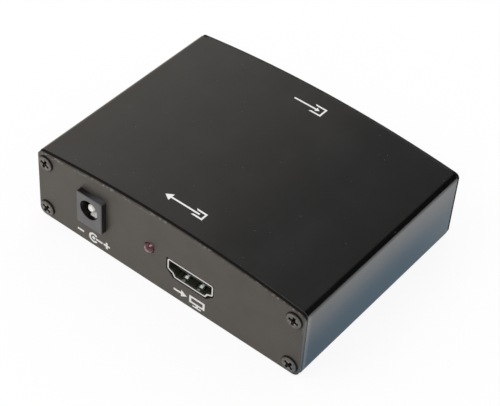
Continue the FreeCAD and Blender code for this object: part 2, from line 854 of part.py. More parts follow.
def make_hdmi_shell():
    body = new_body("hdmi_shell")
    pad(body, "y", "0", "hdmi_length", [hdmi_outline("0", True)])
    ease(body, "Fillet", "hdmi_corner_round", lambda edge: runs_along(edge, "y"))
    hollow(body, "hdmi_sheet", "y")
    for side in (-1, 1):
        x = f"{side} * hdmi_finger_pitch / 2"
        window = centred(x, "hdmi_window_depth + hdmi_window_length / 2",
                         "hdmi_finger_width + 2 * hdmi_finger_slit", "hdmi_window_length")
        pocket(body, "z", "0", "hdmi_sheet", [window])
        pad(body, "x", f"{x} - hdmi_finger_width / 2", "hdmi_finger_width", [[
            ("hdmi_window_back", "0"),
            ("hdmi_window_back", "hdmi_finger_thickness"),
            ("hdmi_crest_depth", "hdmi_finger_lift + hdmi_finger_thickness"),
            ("hdmi_tip_depth", "hdmi_finger_tip + hdmi_finger_thickness"),
            ("hdmi_tip_depth", "hdmi_finger_tip"),
            ("hdmi_crest_depth", "hdmi_finger_lift"),
        ][::-1]])
        for step in (0, 1):
            leg = centred(f"{side} * hdmi_leg_x",
                          f"hdmi_leg_front + {step} * hdmi_leg_pitch + hdmi_leg_width / 2",
                          "hdmi_sheet", "hdmi_leg_width")
            pad(body, "z", "tail_end - board_top", "hdmi_leg_rise + board_top - tail_end", [leg])
    return piece(at_hdmi(body))


def hdmi_contact_slot(row):
    """Level of the contacts' outer faces and the way that they are set into the tongue."""
    if row == "upper":
        return "hdmi_tongue_top - hdmi_contact_thickness"
    return "hdmi_tongue_low"


def make_hdmi_insulator():
    body = new_body("hdmi_insulator")
    wall = "hdmi_sheet + seat_gap"
    block = [
        ("-hdmi_block_low_half", "hdmi_step_height + hdmi_sheet"),
        ("hdmi_block_low_half", "hdmi_step_height + hdmi_sheet"),
        (f"hdmi_half_width - ({wall})", "hdmi_shoulder + hdmi_sheet"),
        (f"hdmi_half_width - ({wall})", f"hdmi_height - ({wall}) - hdmi_corner_round"),
        (f"hdmi_half_width - ({wall}) - hdmi_corner_round", f"hdmi_height - ({wall})"),
        (f"-(hdmi_half_width - ({wall}) - hdmi_corner_round)", f"hdmi_height - ({wall})"),
        (f"-(hdmi_half_width - ({wall}))", f"hdmi_height - ({wall}) - hdmi_corner_round"),
        (f"-(hdmi_half_width - ({wall}))", "hdmi_shoulder + hdmi_sheet"),
    ]
    pad(body, "y", "hdmi_block_front", "hdmi_block_depth", [block])
    pad(body, "y", "hdmi_tongue_recess", "hdmi_block_front - hdmi_tongue_recess",
        [rectangle("-hdmi_tongue_half", "hdmi_tongue_low", "hdmi_tongue_half", "hdmi_tongue_top")])
    for row, count, first in (("upper", 10, -4.5), ("lower", 9, -4)):
        low = hdmi_contact_slot(row)
        slots = [
            centred(f"{first + number} * hdmi_contact_pitch", f"{low} + hdmi_contact_thickness / 2",
                    "hdmi_contact_width + 2 * seat_gap", "hdmi_contact_thickness")
            for number in range(count)
        ]
        pocket(body, "y", "hdmi_contact_start", "hdmi_length - hdmi_contact_start", slots)
    return piece(at_hdmi(body))


def make_hdmi_contacts():
    """Two rows of flat contacts in the tongue, which end in feet on the board."""
    rows = []
    for row, count, first in (("upper", 10, -4.5), ("lower", 9, -4)):
        body = new_body("hdmi_contacts_" + row)
        low = hdmi_contact_slot(row)
        start = "hdmi_contact_start"
        back = f"hdmi_length + hdmi_{row}_turn + hdmi_contact_thickness"
        high = f"{low} + hdmi_contact_thickness"
        foot = f"{back} + hdmi_foot_length"
        pad(body, "x", f"{first} * hdmi_contact_pitch - hdmi_contact_width / 2",
            "hdmi_contact_width", [[
                (start, low),
                (f"{back} - hdmi_contact_thickness", low),
                (f"{back} - hdmi_contact_thickness", "0"),
                (foot, "0"),
                (foot, "hdmi_contact_thickness"),
                (back, "hdmi_contact_thickness"),
                (back, high),
                (start, high),
            ]])
        repeat(body, "x", "hdmi_contact_pitch", str(count))
        rows.append(at_hdmi(body))
    return group("hdmi_contacts", rows)


def vga_outline(gap):
    """The analogue port's outline about its own centre, wider at the top, grown by a gap."""
    top, base, high = (f"{name} + ({gap})" for name in ("vga_top_half", "vga_base_half",
                                                        "vga_half_height"))
    return [(f"-({base})", f"-({high})"), (base, f"-({high})"), (top, high), (f"-({top})", high)]


def vga_column(row, column):
    """Distance across of one contact, in the case's frame."""
    return f"vga_x + {column - 2 + (0.5 if row == 1 else 0) - 0.25} * vga_pitch"


def vga_tail(row):
    """How far behind the flange a row's wires turn down."""
    return f"(vga_tail_first + {2 - row} * vga_tail_pitch)"


def at_vga(body):
    return place(body, "vga_x", "half_sleeve", "vga_height")


def slanted(edge):
    """True for the long corner edges of the analogue port's outline."""
    return runs_along(edge, "y") and abs(edge.CenterOfMass.z) < value_of("vga_half_height") + 0.01


def make_vga_shell():
    body = new_body("vga_shell_outside")
    pad(body, "y", "0", "vga_reach", [vga_outline("0")])
    ease(body, "Fillet", "vga_round", slanted)
    plate = centred("0", "0", "vga_flange_width", "vga_flange_height")
    pad(body, "y", "-vga_flange_thickness", "vga_flange_thickness", [plate])
    inner = new_body("vga_shell_inside")
    pad(inner, "y", "-vga_flange_thickness", "vga_reach + vga_flange_thickness",
        [vga_outline("-vga_sheet")])
    ease(inner, "Fillet", "vga_round - vga_sheet", slanted)
    holes = [circle(f"{side} * jackscrew_spacing / 2", "0", "jackscrew_hole") for side in (-1, 1)]
    pocket(body, "y", "-vga_flange_thickness", "vga_flange_thickness", holes)
    shell = doc.addObject("Part::Cut", "vga_shell")
    shell.Base = body
    shell.Tool = inner
    return piece(at_vga(shell))


def vga_holes(radius):
    return [
        circle(f"{vga_column(row, column)} - vga_x", f"{1 - row} * vga_row_pitch", radius)
        for row in (0, 1, 2)
        for column in range(5)
    ]


def make_vga_insulator():
    body = new_body("vga_insulator")
    back = "-vga_flange_thickness"
    pad(body, "y", back, "vga_face + vga_flange_thickness",
        [vga_outline("-vga_sheet - seat_gap")])
    ease(body, "Fillet", "vga_round - vga_sheet", slanted)
    pocket(body, "y", back, "vga_face + vga_flange_thickness", vga_holes("vga_mouth_radius"))
    pocket(body, "y", back, "vga_face + vga_flange_thickness - vga_mouth_recess",
           vga_holes("vga_socket_radius + seat_gap"))
    return piece(at_vga(body))


def make_vga_block():
    """The moulded block behind the flange, which stands on the board."""
    body = new_body("vga_rear_block")
    half = "vga_block_width / 2"
    start = "-(vga_flange_thickness + vga_block_depth)"
    pad(body, "y", start, "vga_block_depth",
        [rectangle(f"-{half}", "-vga_axis_rise", half, "vga_block_top")])
    holes = vga_holes("vga_socket_radius + seat_gap")
    holes += [circle(f"{side} * jackscrew_spacing / 2", "0", "jackscrew_hole") for side in (-1, 1)]
    pocket(body, "y", start, "vga_block_depth", holes)
    return piece(at_vga(body))


def make_vga_contacts():
    """Three rows of socket contacts whose wires turn down through the board."""
    rows = []
    for row in (0, 1, 2):
        body = new_body(f"vga_contacts_{row + 1}")
        x = f"{vga_column(row, 0)} - vga_x"
        z = f"{1 - row} * vga_row_pitch"
        back = "-(vga_flange_thickness + vga_block_depth)"
        front = "(vga_face - vga_mouth_recess - seat_gap)"
        half = "vga_wire / 2"
        pad(body, "y", back, f"{front} - ({back})", [circle(x, z, "vga_socket_radius")])
        pocket(body, "y", f"{front} - vga_socket_depth", "vga_socket_depth",
               [circle(x, z, "vga_socket_bore")])
        pad(body, "y", f"-{vga_tail(row)} - {half}", f"{vga_tail(row)} + {half} + ({back})",
            [centred(x, z, "vga_wire", "vga_wire")])
        low = "tail_end - vga_height"
        pad(body, "z", low, f"{z} + {half} - ({low})",
            [centred(x, f"-{vga_tail(row)}", "vga_wire", "vga_wire")])
        repeat(body, "x", "vga_pitch", "5")
        rows.append(at_vga(body))
    return group("vga_contacts", rows)


def hexagon(x, y, across):
    """A hexagon with flats above and below."""
    corner = f"({across}) / sqrt(3)"
    spots = ((1, 0), (0.5, 0.5), (-0.5, 0.5), (-1, 0), (-0.5, -0.5), (0.5, -0.5))
    return [(f"{x} + {a} * {corner}", f"{y} + {b} * ({across})") for a, b in spots]


def make_jackscrews():
    """Hexagonal standoffs that clamp the port to the panel, each with a threaded mouth."""
    body = new_body("vga_jackscrews")
    x = "-jackscrew_spacing / 2"
    pad(body, "y", "panel_thickness", "jackscrew_head", [hexagon(x, "0", "jackscrew_across")])
    pad(body, "y", "-jackscrew_stud_length", "jackscrew_stud_length + panel_thickness",
        [circle(x, "0", "jackscrew_stud")])
    pocket(body, "y", "panel_thickness + jackscrew_head - jackscrew_bore_depth",
           "jackscrew_bore_depth", [circle(x, "0", "jackscrew_bore")])
    repeat(body, "x", "jackscrew_spacing", "2")
    return piece(at_vga(body))


def at_sound(body):
    return place(body, "sound_x", "half_sleeve", "sound_height")


def make_sound_housing():
    """The moulded sound jack: a way for the plug, with a slot for a spring on each side."""
    body = new_body("audio_jack_housing")
    half = "sound_width / 2"
    pad(body, "y", "-sound_length", "sound_length",
        [rectangle(f"-{half}", "-sound_axis_rise", half, "sound_above")])
    front = "-(sound_flange_depth + seat_gap)"
    strip = "(sound_strip_width / 2 + seat_gap)"
    pocket(body, "y", front, "sound_flange_depth + seat_gap",
           [circle("0", "0", "sound_flange_radius + seat_gap")])
    pocket(body, "y", front, "sound_flange_depth + seat_gap",
           [rectangle(f"-{strip}", "-sound_axis_rise", strip, "0")])
    back = "spring_post_back + seat_gap"
    pocket(body, "y", f"-({back})", back, [circle("0", "0", "sound_way_radius")])
    tall = "spring_width / 2 + spring_slot_gap"
    slot_front = "(ring_peak_depth - spring_tip_reach - spring_slot_lead)"
    pocket(body, "y", f"-({back})", f"{back} - {slot_front}",
           [rectangle("-spring_slot_side", f"-({tall})", "spring_slot_side", tall)])
    post = "spring_post_width + 2 * seat_gap"
    passages = [
        centred(f"{side} * spring_pivot_side", "-(sound_axis_rise / 2)", post, "sound_axis_rise")
        for side in (-1, 1)
    ]
    pocket(body, "y", f"-({back})", "spring_post_thickness + seat_gap", passages)
    return piece(at_sound(body))


def make_sound_nose():
    """The plated nose that the plug enters, with a ground strip down through the board."""
    body = new_body("audio_jack_nose")
    nose_end = "panel_thickness + sound_nose_reach"
    turned(body, [
        ("-sound_flange_depth", "sound_nose_bore"),
        (nose_end, "sound_nose_bore"),
        (nose_end, "sound_nose_radius - sound_nose_bevel"),
        (f"{nose_end} - sound_nose_bevel", "sound_nose_radius"),
        ("0", "sound_nose_radius"),
        ("0", "sound_flange_radius"),
        ("-sound_flange_depth", "sound_flange_radius"),
    ])
    half = "sound_strip_width / 2"
    low = "tail_end - sound_height"
    pad(body, "y", "-sound_flange_depth", "sound_strip",
        [rectangle(f"-{half}", low, half, "-(sound_nose_bore + sound_strip)")])
    return piece(at_sound(body))


def make_sound_nut():
    body = new_body("audio_jack_nut")
    pad(body, "y", "panel_thickness", "sound_nut_thickness",
        [hexagon("0", "0", "sound_nut_across"), circle("0", "0", "sound_nose_radius + seat_gap")])
    return piece(at_sound(body))


def make_sound_spring(name, side, peak_depth):
    """A sprung strip beside the plug's way, rooted behind and flared in front of its peak."""
    body = new_body(name)
    half = "spring_thickness / 2"
    line = [
        ("spring_pivot_side", "-spring_pivot_depth"),
        ("spring_peak_side", f"-{peak_depth}"),
        ("spring_tip_side", f"-{peak_depth} + spring_tip_reach"),
    ]
    inner = [(f"{side} * ({x} - {half})", y) for x, y in line]
    outer = [(f"{side} * ({x} + {half})", y) for x, y in line]
    pad(body, "z", "-spring_width / 2", "spring_width", [inner + outer[::-1]])
    pad(body, "z", "-spring_width / 2", "spring_width",
        [circle(f"{side} * spring_pivot_side", "-spring_pivot_depth", "spring_root_radius")])
    return piece(at_sound(body))


def make_sound_posts():
    """The fixed blades that carry the springs' roots and go down through the board."""
    body = new_body("audio_spring_terminals")
    for side in (-1, 1):
        low = "tail_end - sound_height"
        half = "spring_post_width / 2"
        x = f"{side} * spring_pivot_side"
        pad(body, "y", "-spring_post_back", "spring_post_thickness",
            [rectangle(f"{x} - {half}", low, f"{x} + {half}", "spring_width / 2")])
    return piece(at_sound(body))


def make_chip(name, x, y, length, width, thickness):
    """A moulded chip package with bevelled top edges."""
    body = new_body(name)
    pad(body, "z", "0", thickness, [centred("0", "0", length, width)])
    ease(body, "Chamfer", "chip_edge", lambda edge: lies_at(edge, "z", value_of(thickness)))
    return piece(place(body, x, y, "chip_base"))


def lead_row(name, start, pitch, width, count):
    """A row of bent leads beside a chip, which runs along X, with the chip at negative Y."""
    body = new_body(name)
    high = "lead_rise - lead_thickness / 2"
    top = "lead_rise + lead_thickness / 2"
    knee = f"{start} + lead_reach - lead_foot"
    toe = f"{start} + lead_reach"
    first = f"-({count} - 1) / 2 * {pitch}"
    pad(body, "x", f"{first} - ({width}) / 2", width, [[
        (start, high),
        (f"{knee} - lead_thickness", high),
        (f"{knee} - lead_thickness", "-chip_stand_off"),
        (toe, "-chip_stand_off"),
        (toe, "lead_thickness - chip_stand_off"),
        (knee, "lead_thickness - chip_stand_off"),
        (knee, top),
        (start, top),
    ]])
    repeat(body, "x", pitch, count)
    return body


def lead_count(length, margin, pitch):
    """As many leads as a side of a chip has room for."""
    return f"(floor(({length} - 2 * {margin}) / {pitch}) + 1)"


def lead_rows(name, x, y, rows):
    """Rows of leads round a chip: each has a turn, a distance, a pitch, a width and a count."""
    bodies = []
    for number, (angle, start, pitch, width, count) in enumerate(rows, 1):
        body = lead_row(f"{name}_{number}", start, pitch, width, count)
        turn = (FreeCAD.Vector(0, 0, 1), angle)
        bodies.append(place(body, x, y, "chip_base", turn))
    return group(name, bodies)


def make_chips():
    make_chip("converter_chip", "chip_x", "chip_y", "chip_side", "chip_side", "chip_thickness")
    count = lead_count("chip_side", "lead_margin", "lead_pitch")
    lead_rows("converter_chip_leads", "chip_x", "chip_y", [
        (angle, "chip_side / 2", "lead_pitch", "lead_width", count) for angle in (0, 90, 180, 270)
    ])
    for name, label in (("flash", "memory_chip"), ("audio", "audio_chip")):
        length, width = f"{name}_length", f"{name}_width"
        count = lead_count(length, "small_lead_margin", "small_lead_pitch")
        make_chip(label, f"{name}_x", f"{name}_y", length, width, "small_chip_thickness")
        lead_rows(label + "_leads", f"{name}_x", f"{name}_y", [
            (angle, f"{width} / 2", "small_lead_pitch", "small_lead_width", count)
            for angle in (0, 180)
        ])


def make_crystal():
    body = new_body("clock_crystal")
    rim = "2 * crystal_rim"
    length = "crystal_length"
    pad(body, "z", "0", "crystal_rim_thickness",
        [centred("0", "0", f"{length} + {rim}", f"crystal_width + {rim}")])
    pad(body, "z", "0", "crystal_height", [centred("0", "0", length, "crystal_width")])
    can_length = value_of("crystal_height - crystal_rim_thickness")

    def upright(edge):
        return runs_along(edge, "z") and edge.Length > can_length * 0.99

    ease(body, "Fillet", "crystal_round", upright)
    return piece(place(body, "crystal_x", "crystal_y", "board_top"))


def make_regulators():
    """Two three-legged regulators, each with its cooling tab at the side wall's side."""
    bodies = []
    for number in (0, 1):
        body = new_body(f"regulator_{number + 1}")
        pad(body, "z", "0", "regulator_thickness",
            [centred("0", "0", "regulator_width", "regulator_length")])
        tab_end = "regulator_width / 2 + regulator_tab_reach"
        tab_half = "regulator_tab_width / 2"
        pad(body, "z", "0", "regulator_sheet",
            [rectangle(f"-({tab_end})", f"-{tab_half}", "0", tab_half)])
        for place_number in (-1, 0, 1):
            y = f"{place_number} * regulator_lead_pitch"
            pad(body, "z", "0", "regulator_sheet",
                [rectangle("0", f"{y} - regulator_lead_width / 2", tab_end,
                           f"{y} + regulator_lead_width / 2")])
        y = f"regulator_y + {number} * regulator_pitch"
        bodies.append(place(body, "regulator_x", y, "board_top"))
    return group("voltage_regulators", bodies)


def make_power_coil():
    core = new_body("power_coil_core")
    square = centred("0", "0", "coil_side", "coil_side")
    pad(core, "z", "0", "coil_flange", [square])
    pad(core, "z", "0", "coil_height", [circle("0", "0", "coil_core_radius")])
    pad(core, "z", "coil_height - coil_flange", "coil_flange", [square])
    piece(place(core, "coil_x", "coil_y", "board_top"))
    winding = new_body("power_coil_winding")
    pad(winding, "z", "coil_flange", "coil_height - 2 * coil_flange",
        [circle("0", "0", "coil_winding_radius"), circle("0", "0", "coil_core_radius + seat_gap")])
    piece(place(winding, "coil_x", "coil_y", "board_top"))


def can_spots():
    return [(x, y) for x in ("can_left_x", "can_right_x") for y in ("can_front_y", "can_back_y")]


def make_cans():
    """Four upright electrolytic capacitors, each a can on a square base."""
    cans, bases = [], []
    for number, (x, y) in enumerate(can_spots(), 1):
        base = new_body(f"can_base_{number}")
        pad(base, "z", "0", "can_base_height",
            [centred("0", "0", "can_base_side", "can_base_side")])
        ease(base, "Chamfer", "can_base_cut",
             lambda edge: runs_along(edge, "z") and edge.CenterOfMass.x > 0)
        bases.append(place(base, x, y, "board_top"))
        can = new_body(f"can_{number}")
        pad(can, "z", "can_base_height", "can_height - can_base_height",
            [circle("0", "0", "can_radius")])
        ease(can, "Fillet", "can_round", lambda edge: lies_at(edge, "z", value_of("can_height")))
        cans.append(place(can, x, y, "board_top"))
    group("electrolytic_cans", cans)
    group("electrolytic_bases", bases)


def make_small_rows():
    """Ceramic capacitors before and behind the main chip, and resistors beside them."""
    rows = (
        ("ceramic_capacitors", "bit_thickness", "bit_row_front", "bit_row_back", 0),
        ("resistors", "resistor_thickness", "bit_row_front - bit_pitch", "bit_row_back + bit_pitch",
         0.5),
    )
    first = -(BITS_IN_A_ROW - 1) / 2
    for name, thickness, front, back, shift in rows:
        members = []
        for number, y in enumerate((front, back), 1):
            body = new_body(f"{name}_{number}")
            pad(body, "z", "0", thickness, [centred("0", "0", "bit_width", "bit_length")])
            repeat(body, "x", "bit_pitch", str(BITS_IN_A_ROW))
            members.append(place(body, f"chip_x + {shift + first} * bit_pitch", y, "board_top"))
        group(name, members)


def check_and_write():
    """Stop if anything failed or is empty, then write one file for each piece."""
    doc.recompute()
    for item in doc.Objects:
        if "Invalid" in item.State or "Error" in item.State:
            raise RuntimeError(f"{item.Name} has failed: {item.State}")
    for item in PIECES:
        if item.Shape.isNull() or not item.Shape.isValid() or not item.Shape.Solids:
            raise RuntimeError(f"{item.Label} is not a sound solid")
    os.makedirs("parts", exist_ok=True)
    for item in PIECES:
        item.Shape.exportStep(f"parts/{item.Label}.step")
        print(f"{item.Label}: {len(item.Shape.Solids)} solids, {item.Shape.Volume:.2f} mm3")


make_case_sleeve()
make_front_panel()
make_back_panel()
make_panel_screws()
make_circuit_board()
make_jack_housing()
make_jack_pin()
make_jack_leaf()
make_jack_post()
make_led()
make_led_leads()
make_hdmi_shell()
make_hdmi_insulator()
make_hdmi_contacts()
make_vga_shell()
make_vga_insulator()
make_vga_block()
make_vga_contacts()
make_jackscrews()
make_sound_housing()
make_sound_nose()
make_sound_nut()
make_sound_spring("audio_tip_spring", 1, "tip_peak_depth")
make_sound_spring("audio_ring_spring", -1, "ring_peak_depth")
make_sound_posts()
make_chips()
make_crystal()
make_regulators()
make_power_coil()
make_cans()
make_small_rows()
check_and_write()
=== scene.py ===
import bpy
import bmesh
import math
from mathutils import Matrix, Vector


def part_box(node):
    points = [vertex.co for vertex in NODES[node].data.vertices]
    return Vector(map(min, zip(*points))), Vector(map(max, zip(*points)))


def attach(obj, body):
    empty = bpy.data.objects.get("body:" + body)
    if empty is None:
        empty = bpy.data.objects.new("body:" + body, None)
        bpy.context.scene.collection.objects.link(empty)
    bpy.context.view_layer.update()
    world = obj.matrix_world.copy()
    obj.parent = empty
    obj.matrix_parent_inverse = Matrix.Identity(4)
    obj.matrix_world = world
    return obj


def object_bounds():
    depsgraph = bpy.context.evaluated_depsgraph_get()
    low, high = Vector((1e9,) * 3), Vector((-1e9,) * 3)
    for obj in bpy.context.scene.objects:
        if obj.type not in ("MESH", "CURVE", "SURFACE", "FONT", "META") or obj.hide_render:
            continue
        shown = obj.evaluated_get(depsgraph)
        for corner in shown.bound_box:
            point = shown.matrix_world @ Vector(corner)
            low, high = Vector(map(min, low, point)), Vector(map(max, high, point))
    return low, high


bl_info = {
    "name": "Video Converter Box",
    "version": (1, 0, 0),
    "blender": (4, 5, 0),
    "location": "View3D > Sidebar > Converter Box",
    "description": "Finishes, printed signs, lamp core and studio for a small video converter box",
    "category": "Object",
}

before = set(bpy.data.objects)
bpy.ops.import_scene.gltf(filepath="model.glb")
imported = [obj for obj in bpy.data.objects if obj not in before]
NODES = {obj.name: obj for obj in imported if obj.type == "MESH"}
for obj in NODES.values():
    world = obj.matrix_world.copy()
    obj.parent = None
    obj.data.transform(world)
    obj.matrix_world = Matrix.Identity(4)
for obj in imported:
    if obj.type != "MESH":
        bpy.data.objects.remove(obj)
CAD_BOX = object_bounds()
BODY = "box"
MM = 0.001

# Sizes of the CAD part that its boxes don't give, in millimetres
CROWN_RISE = 2.95  # how far the arched top rises above the sides
PANEL_INSET = 0.15  # how much smaller the end panels are all round than the sleeve
SCREW_HEAD = 2.55  # radius of a panel screw's head
FINGER_DROP = 4.95  # from the top of the digital port's shell down to its lower fingers' crests
FINGER_SPREAD = 2.5  # from the port's middle to each lower finger
CAN_RADIUS = 3.15  # of an electrolytic can
SMALL_PART_LENGTH = 1.6  # of a capacitor or resistor on the board
WIRE_PITCH = 0.24  # from turn to turn of the power coil
DIMPLE_INSET = 1.2  # from a chip's sides to its dimple

# Outline of the case, in millimetres: its arched top is part of one circle
HALF_WIDTH = CAD_BOX[1].x / MM
TOP = CAD_BOX[1].z / MM
SIDE_TOP = TOP - CROWN_RISE
CROWN_RADIUS = (HALF_WIDTH**2 + CROWN_RISE**2) / (2 * CROWN_RISE)
CROWN_CENTRE = TOP - CROWN_RADIUS
CORNER_LOW = SIDE_TOP - 1.9  # height at which the side goes over into the rounded corner
CORNER_IN = HALF_WIDTH - 1.8  # where the top goes over into it

# Printed signs: how far their film reaches above and below the surface, in millimetres
INK_TOP = 0.006
INK_ROOT = -0.03
PANEL_SIGN_WEIGHT = 1.3  # how much wider lines are on the panels than on the top

# Studio, in metres: each lamp's name, place and share of the key power
LAMPS = (("key_lamp", (-0.35, -0.5, 0.75), 1.0), ("back_lamp", (-0.3, 0.7, 0.6), 0.6))
LAMP_SIZE = 0.6
FLOOR_REACH = 3
GLOW_SEEN = 0.9  # the floor's own white in what the camera sees; the rest keeps the shadow
GLOW_MIRRORED = 0.82  # its own tint in what the object mirrors
ROOM_GLOW = 0.02  # what the object mirrors where no pale side stands

# Where the mirrored floor's tints change, from and to, in millimetres along X or Y
WARM_DARKENS_X = (-50, 45)
COOL_BEGINS_X = (39, 46)
WHITE_BEGINS_X = (49, 55.5)
COOL_BRIGHTENS_Y = (-42, -8)
COOL_PALES_Y = (14, 46)

# Where the room's pale sides begin and are full, by the direction that is looked in
LEFT_WINDOW_X = (0.05, -0.85)
FRONT_WINDOW_Y = (-0.1, -0.6)


def extent(node):
    """The lowest and the highest corner of a CAD node's box, in millimetres."""
    return [Vector(corner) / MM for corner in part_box(node)]


FRONT_FACE = extent("front_panel")[0].y
BACK_FACE = extent("back_panel")[1].y


# Shader nodes


class Signal:
    """A shader socket that is used like a number; & gives the lesser of two and | the greater."""

    def __init__(self, nodes, socket):
        self.nodes = nodes
        self.socket = socket

    def _maths(self, operation, *values):
        settings = {"operation": operation}
        return self.nodes.node("ShaderNodeMath", settings, dict(enumerate(values)))

    def __add__(self, other):
        return self._maths("ADD", self, other)

    def __sub__(self, other):
        return self._maths("SUBTRACT", self, other)

    def __rsub__(self, other):
        return self._maths("SUBTRACT", other, self)

    def __mul__(self, other):
        return self._maths("MULTIPLY", self, other)

    def __mod__(self, other):
        return self._maths("FLOORED_MODULO", self, other)

    def __pow__(self, other):
        return self._maths("POWER", self, other)

    def __lt__(self, other):
        return self._maths("LESS_THAN", self, other)

    def __gt__(self, other):
        return self._maths("GREATER_THAN", self, other)

    def __and__(self, other):
        return self._maths("MINIMUM", self, other)

    def __or__(self, other):
        return self._maths("MAXIMUM", self, other)

    def __abs__(self):
        return self._maths("ABSOLUTE", self)

    __radd__ = __add__
    __rmul__ = __mul__


class Nodes:
    """A node tree, with one way to add a node and short names for the common ones."""

    def __init__(self, tree):
        self.tree = tree
        tree.nodes.clear()

    def feed(self, socket, value):
        """Link a signal to a socket, or set a plain number, vector or colour on it."""
        if isinstance(value, Signal):
            self.tree.links.new(value.socket, socket)
        elif hasattr(value, "__len__") and len(value) < len(socket.default_value):
            socket.default_value = (*value, 1)
        else:
            socket.default_value = value

    def node(self, kind, settings=None, sockets=None, output=0):
        """Add a node: its settings first, then the values or links of its sockets."""
        made = self.tree.nodes.new(kind)
        for name, value in (settings or {}).items():
            setattr(made, name, value)
        for key, value in (sockets or {}).items():
            self.feed(made.inputs[key], value)
        return Signal(self, made.outputs[output]) if made.outputs else made

    def split(self, vector):
        """The three parts of a vector."""
        parts = self.node("ShaderNodeSeparateXYZ", None, {0: vector}).socket.node.outputs
        return [Signal(self, part) for part in parts]

    def spot(self, stretch=(1, 1, 1)):
        """Where a point lies on the object, in metres, drawn out or in along each axis."""
        place = self.node("ShaderNodeTexCoord", output="Object")
        sockets = {0: place, 1: stretch}
        return self.node("ShaderNodeVectorMath", {"operation": "MULTIPLY"}, sockets)

    def millimetres(self):
        """The three coordinates of a point on the object, in millimetres."""
        return self.split(self.spot((1 / MM, 1 / MM, 1 / MM)))

    def noise(self, size, detail=2.0, rough=0.5, stretch=(1, 1, 1)):
        """Soft noise from 0 to 1 with patches of about so many millimetres."""
        sockets = {"Vector": self.spot(stretch), "Scale": 1 / (size * MM)}
        sockets |= {"Detail": detail, "Roughness": rough}
        return self.node("ShaderNodeTexNoise", None, sockets)

    def cells(self, size):
        """Distance to the nearest of many strewn points, as a share of their cells' size."""
        return self.node("ShaderNodeTexVoronoi", None,
                         {"Vector": self.spot(), "Scale": 1 / (size * MM)})

    def ease(self, value, low, high, start=0.0, end=1.0):
        """Go smoothly from start to end while the value goes from low to high."""
        sockets = dict(enumerate((value, low, high, start, end)))
        return self.node("ShaderNodeMapRange", {"interpolation_type": "SMOOTHSTEP"}, sockets)

    def fade(self, value, low, high):
        """Go smoothly from 1 to 0 while the value goes from low to high."""
        return self.ease(value, low, high, 1, 0)

    def bands(self, value, pitch):
        """Distance from the middle of the band that the value falls in, in bands a pitch wide."""
        return abs((value % pitch) - pitch / 2)

    def vary(self, noise, start, end):
        """Go smoothly from start to end over the middle range, which noise mostly keeps to."""
        return self.ease(noise, 0.3, 0.7, start, end)

    def mix(self, first, second, amount):
        """Blend two colours."""
        sockets = {0: amount, 6: first, 7: second}
        return self.node("ShaderNodeMix", {"data_type": "RGBA"}, sockets, output=2)

    def layer(self, base, *coats):
        """Lay coats over a base colour in order, each a colour and how much of it shows."""
        for colour, amount in coats:
            base = self.mix(base, colour, amount)
        return base


class Finish(Nodes):
    """A material with one main shader, whose plain values are set and varied ones linked."""

    def __init__(self, name, **values):
        self.material = bpy.data.materials.new(name)
        self.material.use_nodes = True
        super().__init__(self.material.node_tree)
        surface = self.node("ShaderNodeBsdfPrincipled")
        self.shader = surface.socket.node
        self.node("ShaderNodeOutputMaterial", None, {"Surface": surface})
        self.set(**values)

    def set(self, **values):
        """Set or link sockets of the shader; underscores stand for the spaces in their names."""
        for name, value in values.items():
            self.feed(self.shader.inputs[name.replace("_", " ")], value)

    def bump(self, height, depth, edge=0.0):
        """Raise the surface by a height of 0 to 1 times a depth, and round its edges, in mm."""
        sockets = {"Distance": depth * MM, "Height": height}
        if edge:
            sockets["Normal"] = self.node("ShaderNodeBevel", {"samples": 4}, {0: edge * MM})
        self.set(Normal=self.node("ShaderNodeBump", None, sockets))


def distance(across, up):
    """Distance from a point, by the two offsets from it."""
    return (across**2 + up**2) ** 0.5


def toned(colour, factor, lift=0.0):
    """A colour times a factor, with the same lift added to its three parts."""
    return [min(part * factor + lift, 1) for part in colour]


# Finishes, with their lengths in millimetres


def grained(name, colour, rough, metal=0.0, size=0.2, spread=0.15, edge=0.0):
    """Fine grain over broad soft patches: moulded, cast, plated or fired."""
    made = Finish(name, Metallic=metal)
    fine = made.noise(size, 3, 0.6)
    broad = made.noise(size * 40)
    tone = made.vary(fine * 0.6 + broad * 0.4, 0, 1)
    made.set(Base_Color=made.mix(toned(colour, 1 - spread), toned(colour, 1 + spread), tone))
    made.set(Roughness=made.vary(broad, rough * 0.88, rough * 1.12))
    made.bump(fine, 0.004, edge)
    return made


def brushed(name, colour, rough, size, stretch, metal=1.0, edge=0.0):
    """Bare or plated metal with fine drawn lines and a few dull patches."""
    made = Finish(name, Metallic=metal)
    lines = made.noise(size, 3, 0.55, stretch)
    dull = made.noise(size * 12, 3)
    shade = made.ease(lines * 0.5 + dull * 0.5, 0.35, 0.65)
    made.set(Base_Color=made.mix(toned(colour, 0.86), colour, shade))
    made.set(Roughness=made.vary(lines * 0.4 + dull * 0.6, rough * 0.75, rough * 1.3))
    made.bump(lines, 0.002, edge)
    return made


